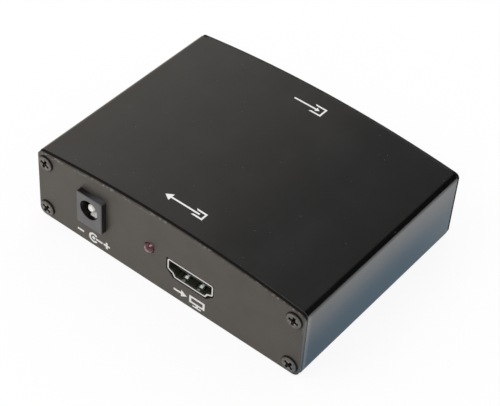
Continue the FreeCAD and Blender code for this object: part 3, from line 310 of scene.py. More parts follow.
def sleeve_finish(settings):
    """Satin black extrusion with drawn lines, smudges and dust; at the right a painted sheen on the
    top, a painted dark reflection on the rounded corner and a painted highlight along the front end.
    """
    made = Finish("sleeve_black", IOR=settings.sleeve_sheen)
    x, y, z = made.millimetres()
    lines = made.noise(0.3, 4, 0.6, (1, 0.015, 1))
    smudge = made.noise(16, 4, 0.62)
    # At the right the top is painted lighter as a painted sheen, and the rounded corner beside it is
    # painted black as a painted dark reflection
    film = made.ease(x, 15, 42) * made.ease(z, SIDE_TOP + 0.05, SIDE_TOP + 0.3)
    arris = made.ease(x, CORNER_IN, CORNER_IN + 0.6) * made.ease(z, CORNER_LOW, CORNER_LOW + 0.6)
    dust = made.fade(made.cells(3.1), 0.03, 0.055)
    end = extent("case_sleeve")[0].y
    # The rubbed mask is a painted highlight: the front end face painted lighter towards the right,
    # and the side just behind it
    rubbed = (y < end + 0.05) * ((x > HALF_WIDTH - 0.3) | made.ease(x, 20, 38) * 0.4)
    rubbed = rubbed | made.fade(y, end + 0.4, end + 1.8) * (x > HALF_WIDTH - 0.1) * 0.65
    colour = settings.sleeve_colour
    lighter = toned(colour, 1.6, 0.0015)
    sheen_grey, arris_shade_black, dust_grey = (0.016, 0.016, 0.0155), (0.001,) * 3, (0.11, 0.11, 0.105)
    made.set(Base_Color=made.layer(
        colour,
        (lighter, made.ease(lines * 0.35 + smudge * 0.65, 0.4, 0.62)),
        (sheen_grey, film * 0.5),
        (arris_shade_black, arris * 0.8),
        (dust_grey, dust * 0.6),
        (settings.sleeve_end_highlight_colour, rubbed),
    ))
    rough = settings.sleeve_roughness
    satin = made.ease(smudge, 0.32, 0.68, rough * 0.82, rough * 1.2)
    made.set(Roughness=satin + lines * 0.05 + dust * 0.3)
    made.bump(lines, 0.0012, 0.2)
    return made


def panel_finish(settings):
    """Satin black plate, a little browner, its coat rubbed off in specks along the edges, with
    painted shade on some edges and a painted highlight on the front panel's sides.
    """
    made = Finish("panel_black", IOR=settings.panel_sheen)
    x, y, z = made.millimetres()
    grain = made.noise(0.12, 3, 0.6)
    cloud = made.noise(7, 4, 0.6)
    on_front, on_back = y < 0, y > 0
    to_top = (CROWN_RADIUS - PANEL_INSET) - distance(x, z - CROWN_CENTRE)
    to_side = (HALF_WIDTH - PANEL_INSET) - abs(x)
    to_edge = to_top & to_side & (z - PANEL_INSET)
    # Painted shade: these edges are painted black, the top and shoulders behind the front face, the
    # sides and corners at the back
    top_edge, side_edge = made.fade(to_top, 0.02, 0.08), made.fade(to_side, 0.02, 0.08)
    shoulder = made.ease(z, CORNER_LOW, CORNER_LOW + 0.5)
    behind_face = made.ease(y, FRONT_FACE + 0.25, FRONT_FACE + 0.5)
    corner = (y < BACK_FACE - 0.25) * shoulder * made.ease(abs(x), CORNER_IN - 1.2, CORNER_IN)
    cut = behind_face * (top_edge | shoulder) * on_front | on_back * (side_edge | corner)
    # Wear keeps to the edges, and at the left it reaches farther down from the top
    near = made.fade(to_edge, 0.12, 0.5) | made.fade(to_top, 0.4, 1.1) * made.ease(x, 25, -25)
    chips = made.ease(made.noise(0.7, 3, 0.7), 0.5, 0.62)
    places = made.ease(made.noise(5, 1), 0.4, 0.52)
    worn = near * (1 - cut) * chips * places * settings.edge_wear
    colour = settings.panel_colour
    bare_grey, back_edge_shade_grey = (0.26, 0.25, 0.235), (0.024, 0.0255, 0.025)
    # Painted shade colours: the back panel's top edge a darker grey, the edges of the cut mask black
    edge_shade_black = (0.005, 0.004, 0.003)
    made.set(Base_Color=made.layer(
        colour,
        (toned(colour, 1.3), made.ease(cloud, 0.35, 0.65)),
        (bare_grey, worn),
        # Painted highlight: the front panel's two side edges are painted lighter
        (settings.panel_edge_highlight_colour, made.fade(to_side, 0.03, 0.12) * on_front * (1 - cut)),
        (back_edge_shade_grey, top_edge * on_back),
        (edge_shade_black, cut),
    ))
    made.set(Metallic=worn * 0.6)
    rough = settings.panel_roughness
    satin = made.ease(cloud, 0.35, 0.65, rough * 0.9, rough * 1.1) + grain * 0.05
    made.set(Roughness=satin | cut * 0.95)
    made.bump(grain * 0.7 - worn * 0.3, 0.006, 0.06)
    return made


def screw_finish():
    """Dark zinc heads, turned in fine rings and rubbed in the middle, with painted shade in the cross
    and round the rim.
    """
    made = Finish("screw_dark", Metallic=0.85)
    x, y, z = made.millimetres()
    least, most = extent("front_panel_screws")
    side, low, high = most.x - SCREW_HEAD, least.z + SCREW_HEAD, most.z - SCREW_HEAD
    upper = z > (low + high) / 2
    away = distance(abs(x) - side, z - (low + upper * (high - low)))
    face = extent("back_panel_screws")[1].y
    cross = made.fade(abs(y), face - 0.3, face - 0.08) * (away < 1.9)
    blotch = made.noise(0.5, 3, 0.6)
    zinc, light_zinc, bare_zinc = (0.12, 0.118, 0.114), (0.205, 0.2, 0.19), (0.44, 0.43, 0.405)
    rim_shade_black = (0.012, 0.012, 0.012)
    # Painted shade: the cross recess is painted darker towards its middle, and a black ring round the
    # head's rim stands in for the shadow under it
    recess_shade = made.mix((0.018, 0.017, 0.015), (0.07, 0.067, 0.063), made.ease(away, 0.45, 1.1))
    made.set(Base_Color=made.layer(
        zinc,
        (light_zinc, made.ease(blotch, 0.35, 0.65)),
        (bare_zinc, made.fade(away, 0.6, 1.7) * made.ease(blotch, 0.5, 0.6)),
        (recess_shade, cross),
        (rim_shade_black, made.ease(away, 2.15, 2.35)),
    ))
    made.set(Roughness=made.vary(blotch, 0.28, 0.46) | cross * 0.7)
    made.bump(made.ease(made.bands(away, 0.16), 0.01, 0.06), 0.004, 0.12)
    return made


def jack_finish(settings):
    """Black matt moulding: its flat outer face and its top, more to the right, painted a little grey
    as painted light, and the rest painted near-black as painted shade.
    """
    made = Finish("power_jack_plastic", Specular_IOR_Level=0.75)
    x, y, z = made.millimetres()
    low, high = extent("dc_jack_housing")
    face = made.fade(y, low.y + 0.06, low.y + 0.26)
    top = made.ease(z, high.z - 0.5, high.z - 0.25) * made.ease(x, low.x + 1.5, high.x - 1)
    grain = made.noise(0.15, 3, 0.6)
    cloud = made.noise(4, 3)
    colour = settings.jack_lit_face_colour
    pale = made.mix(colour, toned(colour, 1.25), made.ease(cloud, 0.35, 0.65))
    # Painted light and shade: the grey face and top are painted light, the near-black sides and bore
    # painted shade
    made.set(Base_Color=made.mix((0.004, 0.004, 0.0045), pale, face | top * 0.75))
    made.set(Roughness=made.vary(cloud * 0.5 + grain * 0.5, 0.36, 0.46))
    made.bump(grain, 0.005, 0.08)
    return made


def board_finish():
    """Green solder mask over fine tracks that run along or across, and bare cut edges."""
    made = Finish("board_green", Coat_Weight=0.4, Coat_Roughness=0.2)
    x, y, z = made.millimetres()
    low, high = extent("circuit_board")
    region = made.noise(9, 1)
    along = made.fade(made.bands(x, 1.1), 0.1, 0.14) * made.ease(region, 0.5, 0.52)
    across = made.fade(made.bands(y, 1.3), 0.1, 0.14) * made.fade(region, 0.46, 0.48)
    track = along | across
    weave = made.noise(0.5, stretch=(1, 3, 1))
    cut = made.ease(z, low.z + 0.02, low.z + 0.05) * made.fade(z, high.z - 0.05, high.z - 0.02)
    mask, light_mask = (0.012, 0.09, 0.035), (0.02, 0.13, 0.05)
    green, laminate = (0.05, 0.24, 0.09), (0.3, 0.3, 0.12)
    made.set(Base_Color=made.layer(mask, (light_mask, weave), (green, track), (laminate, cut)))
    made.set(Roughness=made.vary(weave, 0.34, 0.46) | cut * 0.7)
    made.bump(track * (1 - cut) * 0.8 + weave * 0.2, 0.03)
    return made


def digital_shell_finish(settings):
    """Plated steel, bright at the rim, with painted shade inside the mouth and painted glints on the
    lower fingers' crests.
    """
    made = Finish("digital_shell_plating")
    x, y, z = made.millimetres()
    low, high = extent("hdmi_shell")
    lines = made.noise(0.3, 3, 0.55, (1, 0.15, 1))
    dull = made.noise(3, 3)
    inside = made.ease(y, low.y + 0.15, low.y + 0.4)
    crest = high.z - FINGER_DROP
    from_finger = abs(abs(x - (low.x + high.x) / 2) - FINGER_SPREAD)
    # Painted glints: the rubbed band is the height of the lower fingers' crests, which are painted
    # white; the rest of the mouth is painted dark as painted shade
    rubbed = made.ease(z, crest - 0.34, crest - 0.2) * (z < crest + 0.2)
    crest_glints = inside * rubbed * made.fade(from_finger, 0.25, 0.6)
    mouth_shade = inside * (1 - crest_glints)
    steel, bright_steel, glint_white = (0.7, 0.72, 0.74), (0.81, 0.84, 0.86), (0.95, 1, 0.93)
    made.set(Base_Color=made.layer(
        steel,
        (bright_steel, made.ease(lines, 0.35, 0.65)),
        (settings.mouth_shade_colour, mouth_shade),
        (glint_white, crest_glints),
    ))
    rough = made.vary(lines * 0.4 + dull * 0.6, 0.15, 0.26)
    made.set(Roughness=rough + mouth_shade * 0.15 + crest_glints * 0.2)
    made.set(Metallic=1 - mouth_shade * 0.5 - crest_glints * 0.9)
    made.bump(lines, 0.002, 0.08)
    return made


def chip_finish(name, corner):
    """Dark moulding compound with a fine speckle and a dimple at the first lead's corner."""
    made = Finish(name)
    x, y, _ = made.millimetres()
    dimple = made.fade(distance(x - corner[0], y - corner[1]), 0.4, 0.5)
    speckle = made.noise(0.12, 3, 0.7)
    dark, light, dimple_grey = (0.018, 0.018, 0.019), (0.04, 0.04, 0.041), (0.06, 0.06, 0.06)
    made.set(Base_Color=made.layer(dark, (light, speckle), (dimple_grey, dimple)))
    made.set(Roughness=made.ease(dimple + speckle * 0.3, 0.1, 1, 0.62, 0.4))
    made.bump(speckle * 0.15 - dimple, 0.05)
    return made


def row_finish(name, node, colour):
    """Small parts whose two ends are tinned. Their rows run across the board."""
    made = Finish(name)
    _, y, _ = made.millimetres()
    low, high = extent(node)
    half = SMALL_PART_LENGTH / 2
    from_middle = abs(y - (low.y + half)) & abs(y - (high.y - half))
    tinned = made.ease(from_middle, 0.46, 0.5)
    grain = made.noise(0.1, 3, 0.6)
    tin = (0.62, 0.61, 0.58)
    made.set(Base_Color=made.layer(toned(colour, 0.8), (colour, grain), (tin, tinned)))
    made.set(Metallic=tinned, Roughness=made.vary(grain, 0.4, 0.55))
    made.bump(grain * 0.3 + tinned * 0.7, 0.02)
    return made


def can_finish():
    """Drawn aluminium cans: fine rings round the wall and a dark wedge on top of each."""
    made = Finish("can_silver")
    x, _, z = made.millimetres()
    low, high = extent("electrolytic_cans")
    left, right = low.x + CAN_RADIUS, high.x - CAN_RADIUS
    out = x - (left + (x > 0) * (right - left))
    top = made.ease(z, high.z - 0.06, high.z - 0.03)
    wedge = top * made.fade(out, -1.45, -1.4)
    rings = made.noise(0.1, stretch=(0.05, 0.05, 1))
    made.set(Base_Color=made.mix((0.74, 0.74, 0.75), (0.02, 0.02, 0.025), wedge))
    made.set(Metallic=1 - wedge, Roughness=made.vary(rings, 0.24, 0.4))
    made.bump(rings, 0.004)
    return made


def winding_finish():
    """Enamelled wire wound in level turns, painted darker in the grooves between turns as painted
    shade.
    """
    made = Finish("winding_copper", Metallic=0.9)
    _, _, z = made.millimetres()
    turn = made.ease(made.bands(z, WIRE_PITCH), 0, WIRE_PITCH / 2)
    glaze = made.noise(0.6)
    # Painted shade: each turn is painted darker in the groove at the middle of its band
    made.set(Base_Color=made.mix((0.3, 0.08, 0.03), (0.62, 0.24, 0.09), turn * 0.7 + glaze * 0.3))
    made.set(Roughness=made.vary(glaze, 0.2, 0.34))
    made.bump(turn, 0.06)
    return made


def lens_finish(settings):
    """Tinted clear resin, a little cloudy, painted paler at the lower left and darker at the upper
    right as painted light, with a painted shade blot for its core below a painted highlight spot.
    """
    made = Finish("lamp_red", IOR=1.5, Transmission_Weight=0.6)
    x, _, z = made.millimetres()
    low, high = extent("power_led")
    across, up = x - (low.x + high.x) / 2, z - (low.z + high.z) / 2
    cloud = made.noise(0.6, 3, 0.6)
    # Painted shade blot for the core, and a painted highlight spot above it
    core = made.fade(distance(across - 0.4, up - 1.0), 0.2, 0.6)
    spot = made.fade(distance(across - 0.65, up - 1.4), 0.2, 0.4)
    core_shade_red, highlight_pink = (0.16, 0.005, 0.02), (1, 0.72, 0.75)
    colour = settings.lamp_colour
    made.set(Base_Color=made.layer(
        toned(colour, 0.8, 0.42),
        (toned(colour, 0.6), made.ease(across * 0.5 + up + cloud * 0.3, -0.6, 1.1)),
        (core_shade_red, core),
        (highlight_pink, spot),
    ))
    made.set(Roughness=made.vary(cloud, 0.06, 0.14))
    made.bump(cloud, 0.003)
    return made


def ink_finish(settings):
    """Screen-printed ink, thin in places, with the mesh's faint weave in it."""
    made = Finish("ink_white")
    thin = made.noise(0.35, 3, 0.6)
    weave = made.noise(0.08, 1)
    colour = settings.ink_colour
    made.set(Base_Color=made.mix(toned(colour, 0.78), colour, made.ease(thin, 0.3, 0.5)))
    made.set(Roughness=made.vary(weave, 0.45, 0.6))
    made.bump(weave, 0.003)
    return made


def dress(finish, *names):
    """Give CAD nodes a finish; their shapes and places stay as they are."""
    for name in names:
        slots = NODES[name].material_slots
        if not slots:
            raise RuntimeError(name + " has no place for a material")
        for slot in slots:
            slot.material = finish.material


# Printed signs, drawn flat in millimetres and then laid on the case


def add_piece(name, points, faces, finish):
    """Make a mesh piece of the object, in metres, from points in millimetres."""
    mesh = bpy.data.meshes.new(name)
    mesh.from_pydata([Vector(point) * MM for point in points], [], faces)
    mesh.materials.append(finish.material)
    mesh.update()
    piece = bpy.data.objects.new(name, mesh)
    bpy.context.scene.collection.objects.link(piece)
    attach(piece, BODY)


def bar(left, low, right, high):
    """A rectangle between two corners."""
    return [(left, low), (right, low), (right, high), (left, high)]


def open_box(left, low, right, high, line, missing=None):
    """A rectangle's outline as mitred strips, of which one side may be missing."""
    outer = bar(left, low, right, high)
    inner = bar(left + line, low + line, right - line, high - line)
    sides = {}
    for number, side in enumerate(("low", "right", "high", "left")):
        after = (number + 1) % 4
        sides[side] = [outer[number], outer[after], inner[after], inner[number]]
    return [strip for side, strip in sides.items() if side != missing]


def arrow(left, right, line, head):
    """A straight arrow that points right."""
    neck, wing = right - head, head * 0.62
    half = line / 2
    point = [(neck, -wing), (right, 0), (neck, wing), (neck, half), (neck, -half)]
    return [bar(left, -half, neck, half), point]


def arc(x, y, radius, line, first, last, steps):
    """Part of a ring, from one angle to another in degrees, as a row of short strips."""
    turns = [math.radians(first + (last - first) * number / steps) for number in range(steps + 1)]
    reaches = (radius - line / 2, radius + line / 2)
    rows = [[(x + math.cos(turn) * reach, y + math.sin(turn) * reach) for reach in reaches]
            for turn in turns]
    return [[*start, *reversed(end)] for start, end in zip(rows, rows[1:])]


def disc(radius, steps):
    """A filled circle round the middle of a sign."""
    turns = [2 * math.pi * number / steps for number in range(steps)]
    return [[(radius * math.cos(turn), radius * math.sin(turn)) for turn in turns]]


def raised(shapes, lift):
    """Shapes moved up on their sheet."""
    return [[(x, y + lift) for x, y in shape] for shape in shapes]


def input_sign(line):
    """An arrow that goes into a bracket."""
    return open_box(1.1, -1.75, 5.05, 1.75, line, "left") + arrow(-5.05, 3.6, line, 1.2)


def output_sign(line):
    """An arrow that comes out of a bracket."""
    return open_box(-6.6, -1.3, -3.0, 1.3, line, "right") + arrow(-4.9, 6.6, line, 2.1)


def screen(middle, line):
    """A screen on its foot."""
    half = line / 2
    edge = open_box(middle - 2.6, -0.75, middle + 2.6, 1.9, line)
    stem = [bar(middle - half, -1.25, middle + half, -0.75)]
    steps = (middle - 1.4, middle - half, middle + half, middle + 1.4)
    foot = [bar(left, -1.75, right, -1.25) for left, right in zip(steps, steps[1:])]
    return edge + stem + foot


def to_screen_sign(line):
    """An arrow towards a screen, for the port that sends the picture out."""
    return raised(arrow(-5.2, -0.7, line, 2.0), 0.5) + screen(2.7, line)


def from_screen_sign(line):
    """A screen and an arrow away from it, for the port that takes the picture in."""
    return screen(-2.7, line) + raised(arrow(0.7, 5.2, line, 2.0), 0.5)


def polarity_sign(line):
    """Minus, a centre in its open sleeve, and plus, joined as on power supplies."""
    arm, reach, radius = 1.15, 4.7, 1.4
    half = line / 2
    near, far = reach - half, reach + half
    minus = [bar(-reach - arm, -half, -reach + arm, half)]
    sleeve = arc(0, 0, radius, line, 40, 320, 16)
    centre = disc(0.56, 20)
    link = [bar(0.8, -half, reach - arm - 0.35, half)]
    plus = [bar(reach - arm, -half, near, half), bar(far, -half, reach + arm, half)]
    plus += [bar(near, low, far, high) for low, high in ((-arm, -half), (-half, half), (half, arm))]
    return minus + sleeve + centre + link + plus


def sound_sign(line):
    """A loudspeaker with two waves."""
    cone = [(-1.7, -0.55), (-0.4, -1.3), (-0.4, 1.3), (-1.7, 0.55)]
    horn = [bar(-2.6, -0.55, -1.7, 0.55), cone]
    thin = line * 0.8
    return horn + arc(-0.5, 0, 1.2, thin, -42, 42, 8) + arc(-0.5, 0, 2.2, thin, -42, 42, 12)


def add_mark(name, shapes, lay, finish):
    """Print a sign as one thin closed film. lay gives the point above a place on its sheet."""
    sheet = bmesh.new()
    for shape in shapes:
        sheet.faces.new([sheet.verts.new((x, y, 0)) for x, y in shape])
    bmesh.ops.remove_doubles(sheet, verts=sheet.verts, dist=0.001)
    # A cut at each millimetre lets the film bend with the arched top
    for cut in range(-7, 8):
        everything = sheet.verts[:] + sheet.edges[:] + sheet.faces[:]
        bmesh.ops.bisect_plane(sheet, geom=everything, plane_co=(cut, 0, 0), plane_no=(1, 0, 0))
    sheet.verts.index_update()
    count = len(sheet.verts)
    flat = [(corner.co.x, corner.co.y) for corner in sheet.verts]
    points = [lay(x, y, lift) for lift in (INK_TOP, INK_ROOT) for x, y in flat]
    faces = [[corner.index for corner in face.verts] for face in sheet.faces]
    faces += [[corner + count for corner in reversed(face)] for face in faces]
    for edge in sheet.edges:
        if edge.is_boundary:
            loop = edge.link_loops[0]
            start, stop = loop.vert.index, loop.link_loop_next.vert.index
            faces.append([stop, start, start + count, stop + count])
    sheet.free()
    add_piece(name, points, faces, finish)


def on_top(x, y, turned=False):
    """Lay a sign on the arched top, read from the front or, turned, from the back."""
    way = -1 if turned else 1

    def lay(u, v, lift):
        across = x + way * u
        height = CROWN_CENTRE + math.sqrt(CROWN_RADIUS**2 - across**2)
        return (across, y + way * v, height + lift)

    return lay


def on_panel(x, z, facing):
    """Lay a sign on an end panel's outer face, read from outside it."""
    face, way = (FRONT_FACE, 1) if facing == "front" else (BACK_FACE, -1)

    def lay(u, v, lift):
        return (x + way * u, face - way * lift, z + v)

    return lay


# The lamp's inner metal


def prism(outline, low, high, first):
    """A flat outline in X and Y made solid between two heights, its points numbered from first."""
    count = len(outline)
    points = [(x, y, low) for x, y in outline] + [(x, y, high) for x, y in outline]
    faces = [list(range(count))[::-1], [number + count for number in range(count)]]
    for number in range(count):
        after = (number + 1) % count
        faces.append([number, after, after + count, number + count])
    return points, [[corner + first for corner in face] for face in faces]


def lathe(profile, centre, steps, first):
    """A closed ring turned about Y from (depth, radius) pairs, its points numbered from first."""
    points, faces = [], []
    rows = len(profile)
    for number in range(steps):
        angle = 2 * math.pi * number / steps
        for depth, radius in profile:
            points.append((centre[0] + radius * math.cos(angle), centre[1] + depth,
                           centre[2] + radius * math.sin(angle)))
        for row in range(rows):
            here, there = number * rows, ((number + 1) % steps) * rows
            after = (row + 1) % rows
            faces.append([here + row, here + after, there + after, there + row])
    return points, [[corner + first for corner in face] for face in faces]


def add_lamp_core(finish):
    """The lamp's anvil with its small dish, and the post beside it, set in the lens."""
    low, high = extent("power_led")
    x, z = (low.x + high.x) / 2, (low.z + high.z) / 2
    half_thick, dish_depth = 0.2, 2.1
    anvil = [(-1.3, 5.0), (-0.95, 5.0), (-0.95, 4.2), (-0.45, 3.4), (0.45, 2.8), (0.45, 2.45),
             (-0.7, 2.45), (-1.15, 3.1), (-1.3, 3.9)]
    post = [(0.95, 5.0), (0.95, 3.6), (0.7, 2.9), (0.7, 2.4), (1.1, 2.4), (1.3, 3.5), (1.3, 5.0)]
    points, faces = [], []
    for outline in (anvil, post):
        placed = [(x + across, low.y + deep) for across, deep in reversed(outline)]
        more_points, more_faces = prism(placed, z - half_thick, z + half_thick, len(points))
        points += more_points
        faces += more_faces
    dish = [(0, 0.3), (0, 0.5), (0.35, 0.5), (0.35, 0.08)]
    more_points, more_faces = lathe(dish, (x, low.y + dish_depth, z), 20, len(points))
    add_piece("lamp_core", points + more_points, faces + more_faces, finish)


# Settings


class ConverterBoxFinishes(bpy.types.PropertyGroup):
    """Colours and sheen of the box's own surfaces"""

    sleeve_colour: bpy.props.FloatVectorProperty(
        name="Sleeve colour", description="Colour of the extruded sleeve under its sheen",
        default=(0.005, 0.005, 0.005), min=0, max=1, size=3, subtype="COLOR")
    # Painted highlight colour along the sleeve's front end
    sleeve_end_highlight_colour: bpy.props.FloatVectorProperty(
        name="Sleeve end colour", description="Colour of the sleeve's rubbed front end",
        default=(0.14, 0.138, 0.134), min=0, max=1, size=3, subtype="COLOR")
    sleeve_roughness: bpy.props.FloatProperty(
        name="Sleeve roughness", description="How much the sleeve blurs what it reflects",
        default=0.17, min=0.02, max=1, subtype="FACTOR")
    sleeve_sheen: bpy.props.FloatProperty(
        name="Sleeve sheen", description="Refractive index of the sleeve's satin skin",
        default=1.74, min=1, max=3)
    panel_colour: bpy.props.FloatVectorProperty(
        name="Panel colour", description="Colour of the two end panels",
        default=(0.045, 0.0395, 0.0345), min=0, max=1, size=3, subtype="COLOR")
    # Painted highlight colour for the front panel's two side edges
    panel_edge_highlight_colour: bpy.props.FloatVectorProperty(
        name="Panel edge colour", description="Colour of the front panel's two bare side edges",
        default=(0.075, 0.07, 0.066), min=0, max=1, size=3, subtype="COLOR")
    panel_roughness: bpy.props.FloatProperty(
        name="Panel roughness", description="How much the end panels blur what they reflect",
        default=0.38, min=0.02, max=1, subtype="FACTOR")
    panel_sheen: bpy.props.FloatProperty(
        name="Panel sheen", description="Refractive index of the end panels' coat",
        default=1.5, min=1, max=3)
    edge_wear: bpy.props.FloatProperty(
        name="Edge wear", description="How much of the coat is rubbed off the panels' edges",
        default=0.8, min=0, max=1, subtype="FACTOR")
    # Painted light: the power jack's outer face is painted this lit grey
    jack_lit_face_colour: bpy.props.FloatVectorProperty(
        name="Power jack face colour", description="Colour of the power jack's matt outer face",
        default=(0.075, 0.078, 0.086), min=0, max=1, size=3, subtype="COLOR")
    # Painted shade colour of the digital port's shell inside its mouth
    mouth_shade_colour: bpy.props.FloatVectorProperty(
        name="Tarnish colour", description="Colour of the digital port's shell inside its mouth",
        default=(0.06, 0.062, 0.045), min=0, max=1, size=3, subtype="COLOR")
    lamp_colour: bpy.props.FloatVectorProperty(
        name="Lamp colour", description="Tint of the indicator lamp's lens",
        default=(0.42, 0.14, 0.18), min=0, max=1, size=3, subtype="COLOR")


class ConverterBoxMarks(bpy.types.PropertyGroup):
    """The plain signs printed on the box"""

    ink_colour: bpy.props.FloatVectorProperty(
        name="Ink colour", description="Colour of the printed signs",
        default=(0.82, 0.82, 0.8), min=0, max=1, size=3, subtype="COLOR")
    line_width: bpy.props.FloatProperty(
        name="Line width", description="Width of the signs' lines",
        default=0.00052, min=0.0001, max=0.001, precision=5, subtype="DISTANCE", unit="LENGTH")
    panel_sign_height: bpy.props.FloatProperty(
        name="Panel sign height", description="Height of the middle of the panels' signs",
        default=0.003, min=0.002, max=0.006, precision=4, subtype="DISTANCE", unit="LENGTH")
    top_sign_inset: bpy.props.FloatProperty(
        name="Top sign inset", description="From the sleeve's ends to the middle of its signs",
        default=0.0066, min=0.003, max=0.02, precision=4, subtype="DISTANCE", unit="LENGTH")


class ConverterBoxStudio(bpy.types.PropertyGroup):
    """Camera, lamps and floor"""

    camera_place: bpy.props.FloatVectorProperty(
        name="Camera place", description="Where the camera stands",
        default=(0.17761, -0.24553, 0.30072), size=3, subtype="TRANSLATION", unit="LENGTH")
    camera_turn: bpy.props.FloatVectorProperty(
        name="Camera turn", description="Turn of the camera about each axis",
        default=[math.radians(angle) for angle in (45.8748, -3.2064, 38.7987)],
        size=3, subtype="EULER", unit="ROTATION")
    lens: bpy.props.FloatProperty(
        name="Focal length", description="Focal length on a sensor 36 mm wide",
        default=111.146, min=10, max=300, unit="CAMERA")
    fill: bpy.props.FloatProperty(
        name="Fill light", description="Strength of the even light from all round",
        default=0.74, min=0, max=2)
    key_power: bpy.props.FloatProperty(
        name="Key lamp power", description="Power of the large soft lamp; the back one has less",
        default=3.0, min=0, max=20, unit="POWER")
    window: bpy.props.FloatProperty(
        name="Window strength", description="Brightness of the pale side at the left",
        default=0.68, min=0, max=4)
    front_window: bpy.props.FloatProperty(
        name="Front window strength", description="Brightness of the pale side in front",
        default=0.7, min=0, max=4)
    warm_side: bpy.props.FloatVectorProperty(
        name="Warm side", description="Tint of the left side and the floor, as the box reflects them",
        default=(1, 0.92, 0.84), min=0, max=1, size=3, subtype="COLOR")
    cool_side: bpy.props.FloatVectorProperty(
        name="Cool side", description="Tint of what the box reflects at its right",
        default=(0.37, 0.555, 0.72), min=0, max=1, size=3, subtype="COLOR")
    cool_back: bpy.props.FloatVectorProperty(
        name="Cool side, far end", description="Tint of the same reflection towards the back",
        default=(0.575, 0.7, 0.8), min=0, max=1, size=3, subtype="COLOR")
    floor_colour: bpy.props.FloatVectorProperty(
        name="Floor colour", description="Colour of the plain floor",
        default=(0.92, 0.92, 0.92), min=0, max=1, size=3, subtype="COLOR")


# Steps


class CONVERTER_BOX_OT_case(bpy.types.Operator):
    """Finish the extruded sleeve and the two end panels"""

    bl_idname = "converter_box.case"
    bl_label = "Case"

    def execute(self, context):
        settings = context.scene.converter_box_finishes
        dress(sleeve_finish(settings), "case_sleeve")
        dress(panel_finish(settings), "front_panel", "back_panel")
        return {"FINISHED"}


class CONVERTER_BOX_OT_screws(bpy.types.Operator):
    """Finish the eight panel screws"""

    bl_idname = "converter_box.screws"
    bl_label = "Panel screws"

    def execute(self, context):
        dress(screw_finish(), "front_panel_screws", "back_panel_screws")
        return {"FINISHED"}


class CONVERTER_BOX_OT_jacks(bpy.types.Operator):
    """Finish the power jack and the sound jack with their contacts"""

    bl_idname = "converter_box.jacks"
    bl_label = "Power and sound jacks"

    def execute(self, context):
        dress(jack_finish(context.scene.converter_box_finishes), "dc_jack_housing")
        dress(grained("jack_plastic", (0.02, 0.02, 0.021), 0.4, size=0.15, edge=0.08),
              "audio_jack_housing")
        bright = brushed("jack_plating", (0.8, 0.79, 0.76), 0.2, 0.25, (1, 0.1, 1), edge=0.06)
        dress(bright, "audio_jack_nose", "audio_jack_nut")
        pin = brushed("power_pin_plating", (0.93, 0.92, 0.9), 0.38, 0.2, (1, 0.1, 1),
                      metal=0.3, edge=0.06)
        dress(pin, "dc_jack_centre_pin")
        sprung = brushed("sprung_contact", (0.66, 0.62, 0.52), 0.28, 0.15, (1, 0.2, 1))
        dress(sprung, "dc_jack_leaf_terminal", "audio_tip_spring", "audio_ring_spring",
              "audio_spring_terminals")
        leaf = brushed("power_leaf_plating", (0.97, 0.96, 0.94), 0.34, 0.15, (1, 0.2, 1),
                       metal=0.12)
        dress(leaf, "dc_jack_leaf_contact")
        return {"FINISHED"}


class CONVERTER_BOX_OT_lamp(bpy.types.Operator):
    """Finish the indicator lamp and set its small metal core into the lens"""

    bl_idname = "converter_box.lamp"
    bl_label = "Indicator lamp"

    def execute(self, context):
        dress(lens_finish(context.scene.converter_box_finishes), "power_led")
        lead = brushed("lamp_lead", (0.7, 0.69, 0.66), 0.3, 0.2, (1, 0.2, 1))
        dress(lead, "led_leads")
        add_lamp_core(lead)
        return {"FINISHED"}


class CONVERTER_BOX_OT_ports(bpy.types.Operator):
    """Finish the digital and the analogue video ports"""

    bl_idname = "converter_box.ports"
    bl_label = "Video ports"

    def execute(self, context):
        shell = brushed("shell_plating", (0.84, 0.83, 0.8), 0.2, 0.3, (1, 0.15, 1), edge=0.08)
        dress(shell, "vga_shell")
        dress(digital_shell_finish(context.scene.converter_box_finishes), "hdmi_shell")
        standoff = brushed("standoff_plating", (0.72, 0.71, 0.68), 0.26, 0.2, (1, 0.06, 1),
                           edge=0.1)
        dress(standoff, "vga_jackscrews")
        dress(grained("port_black", (0.02, 0.02, 0.021), 0.42), "hdmi_insulator", "vga_rear_block")
        dress(grained("port_blue", (0.012, 0.035, 0.2), 0.42, edge=0.06), "vga_insulator")
        gold = brushed("contact_gilding", (0.85, 0.64, 0.28), 0.22, 0.12, (1, 0.2, 1))
        dress(gold, "hdmi_contacts", "vga_contacts")
        return {"FINISHED"}


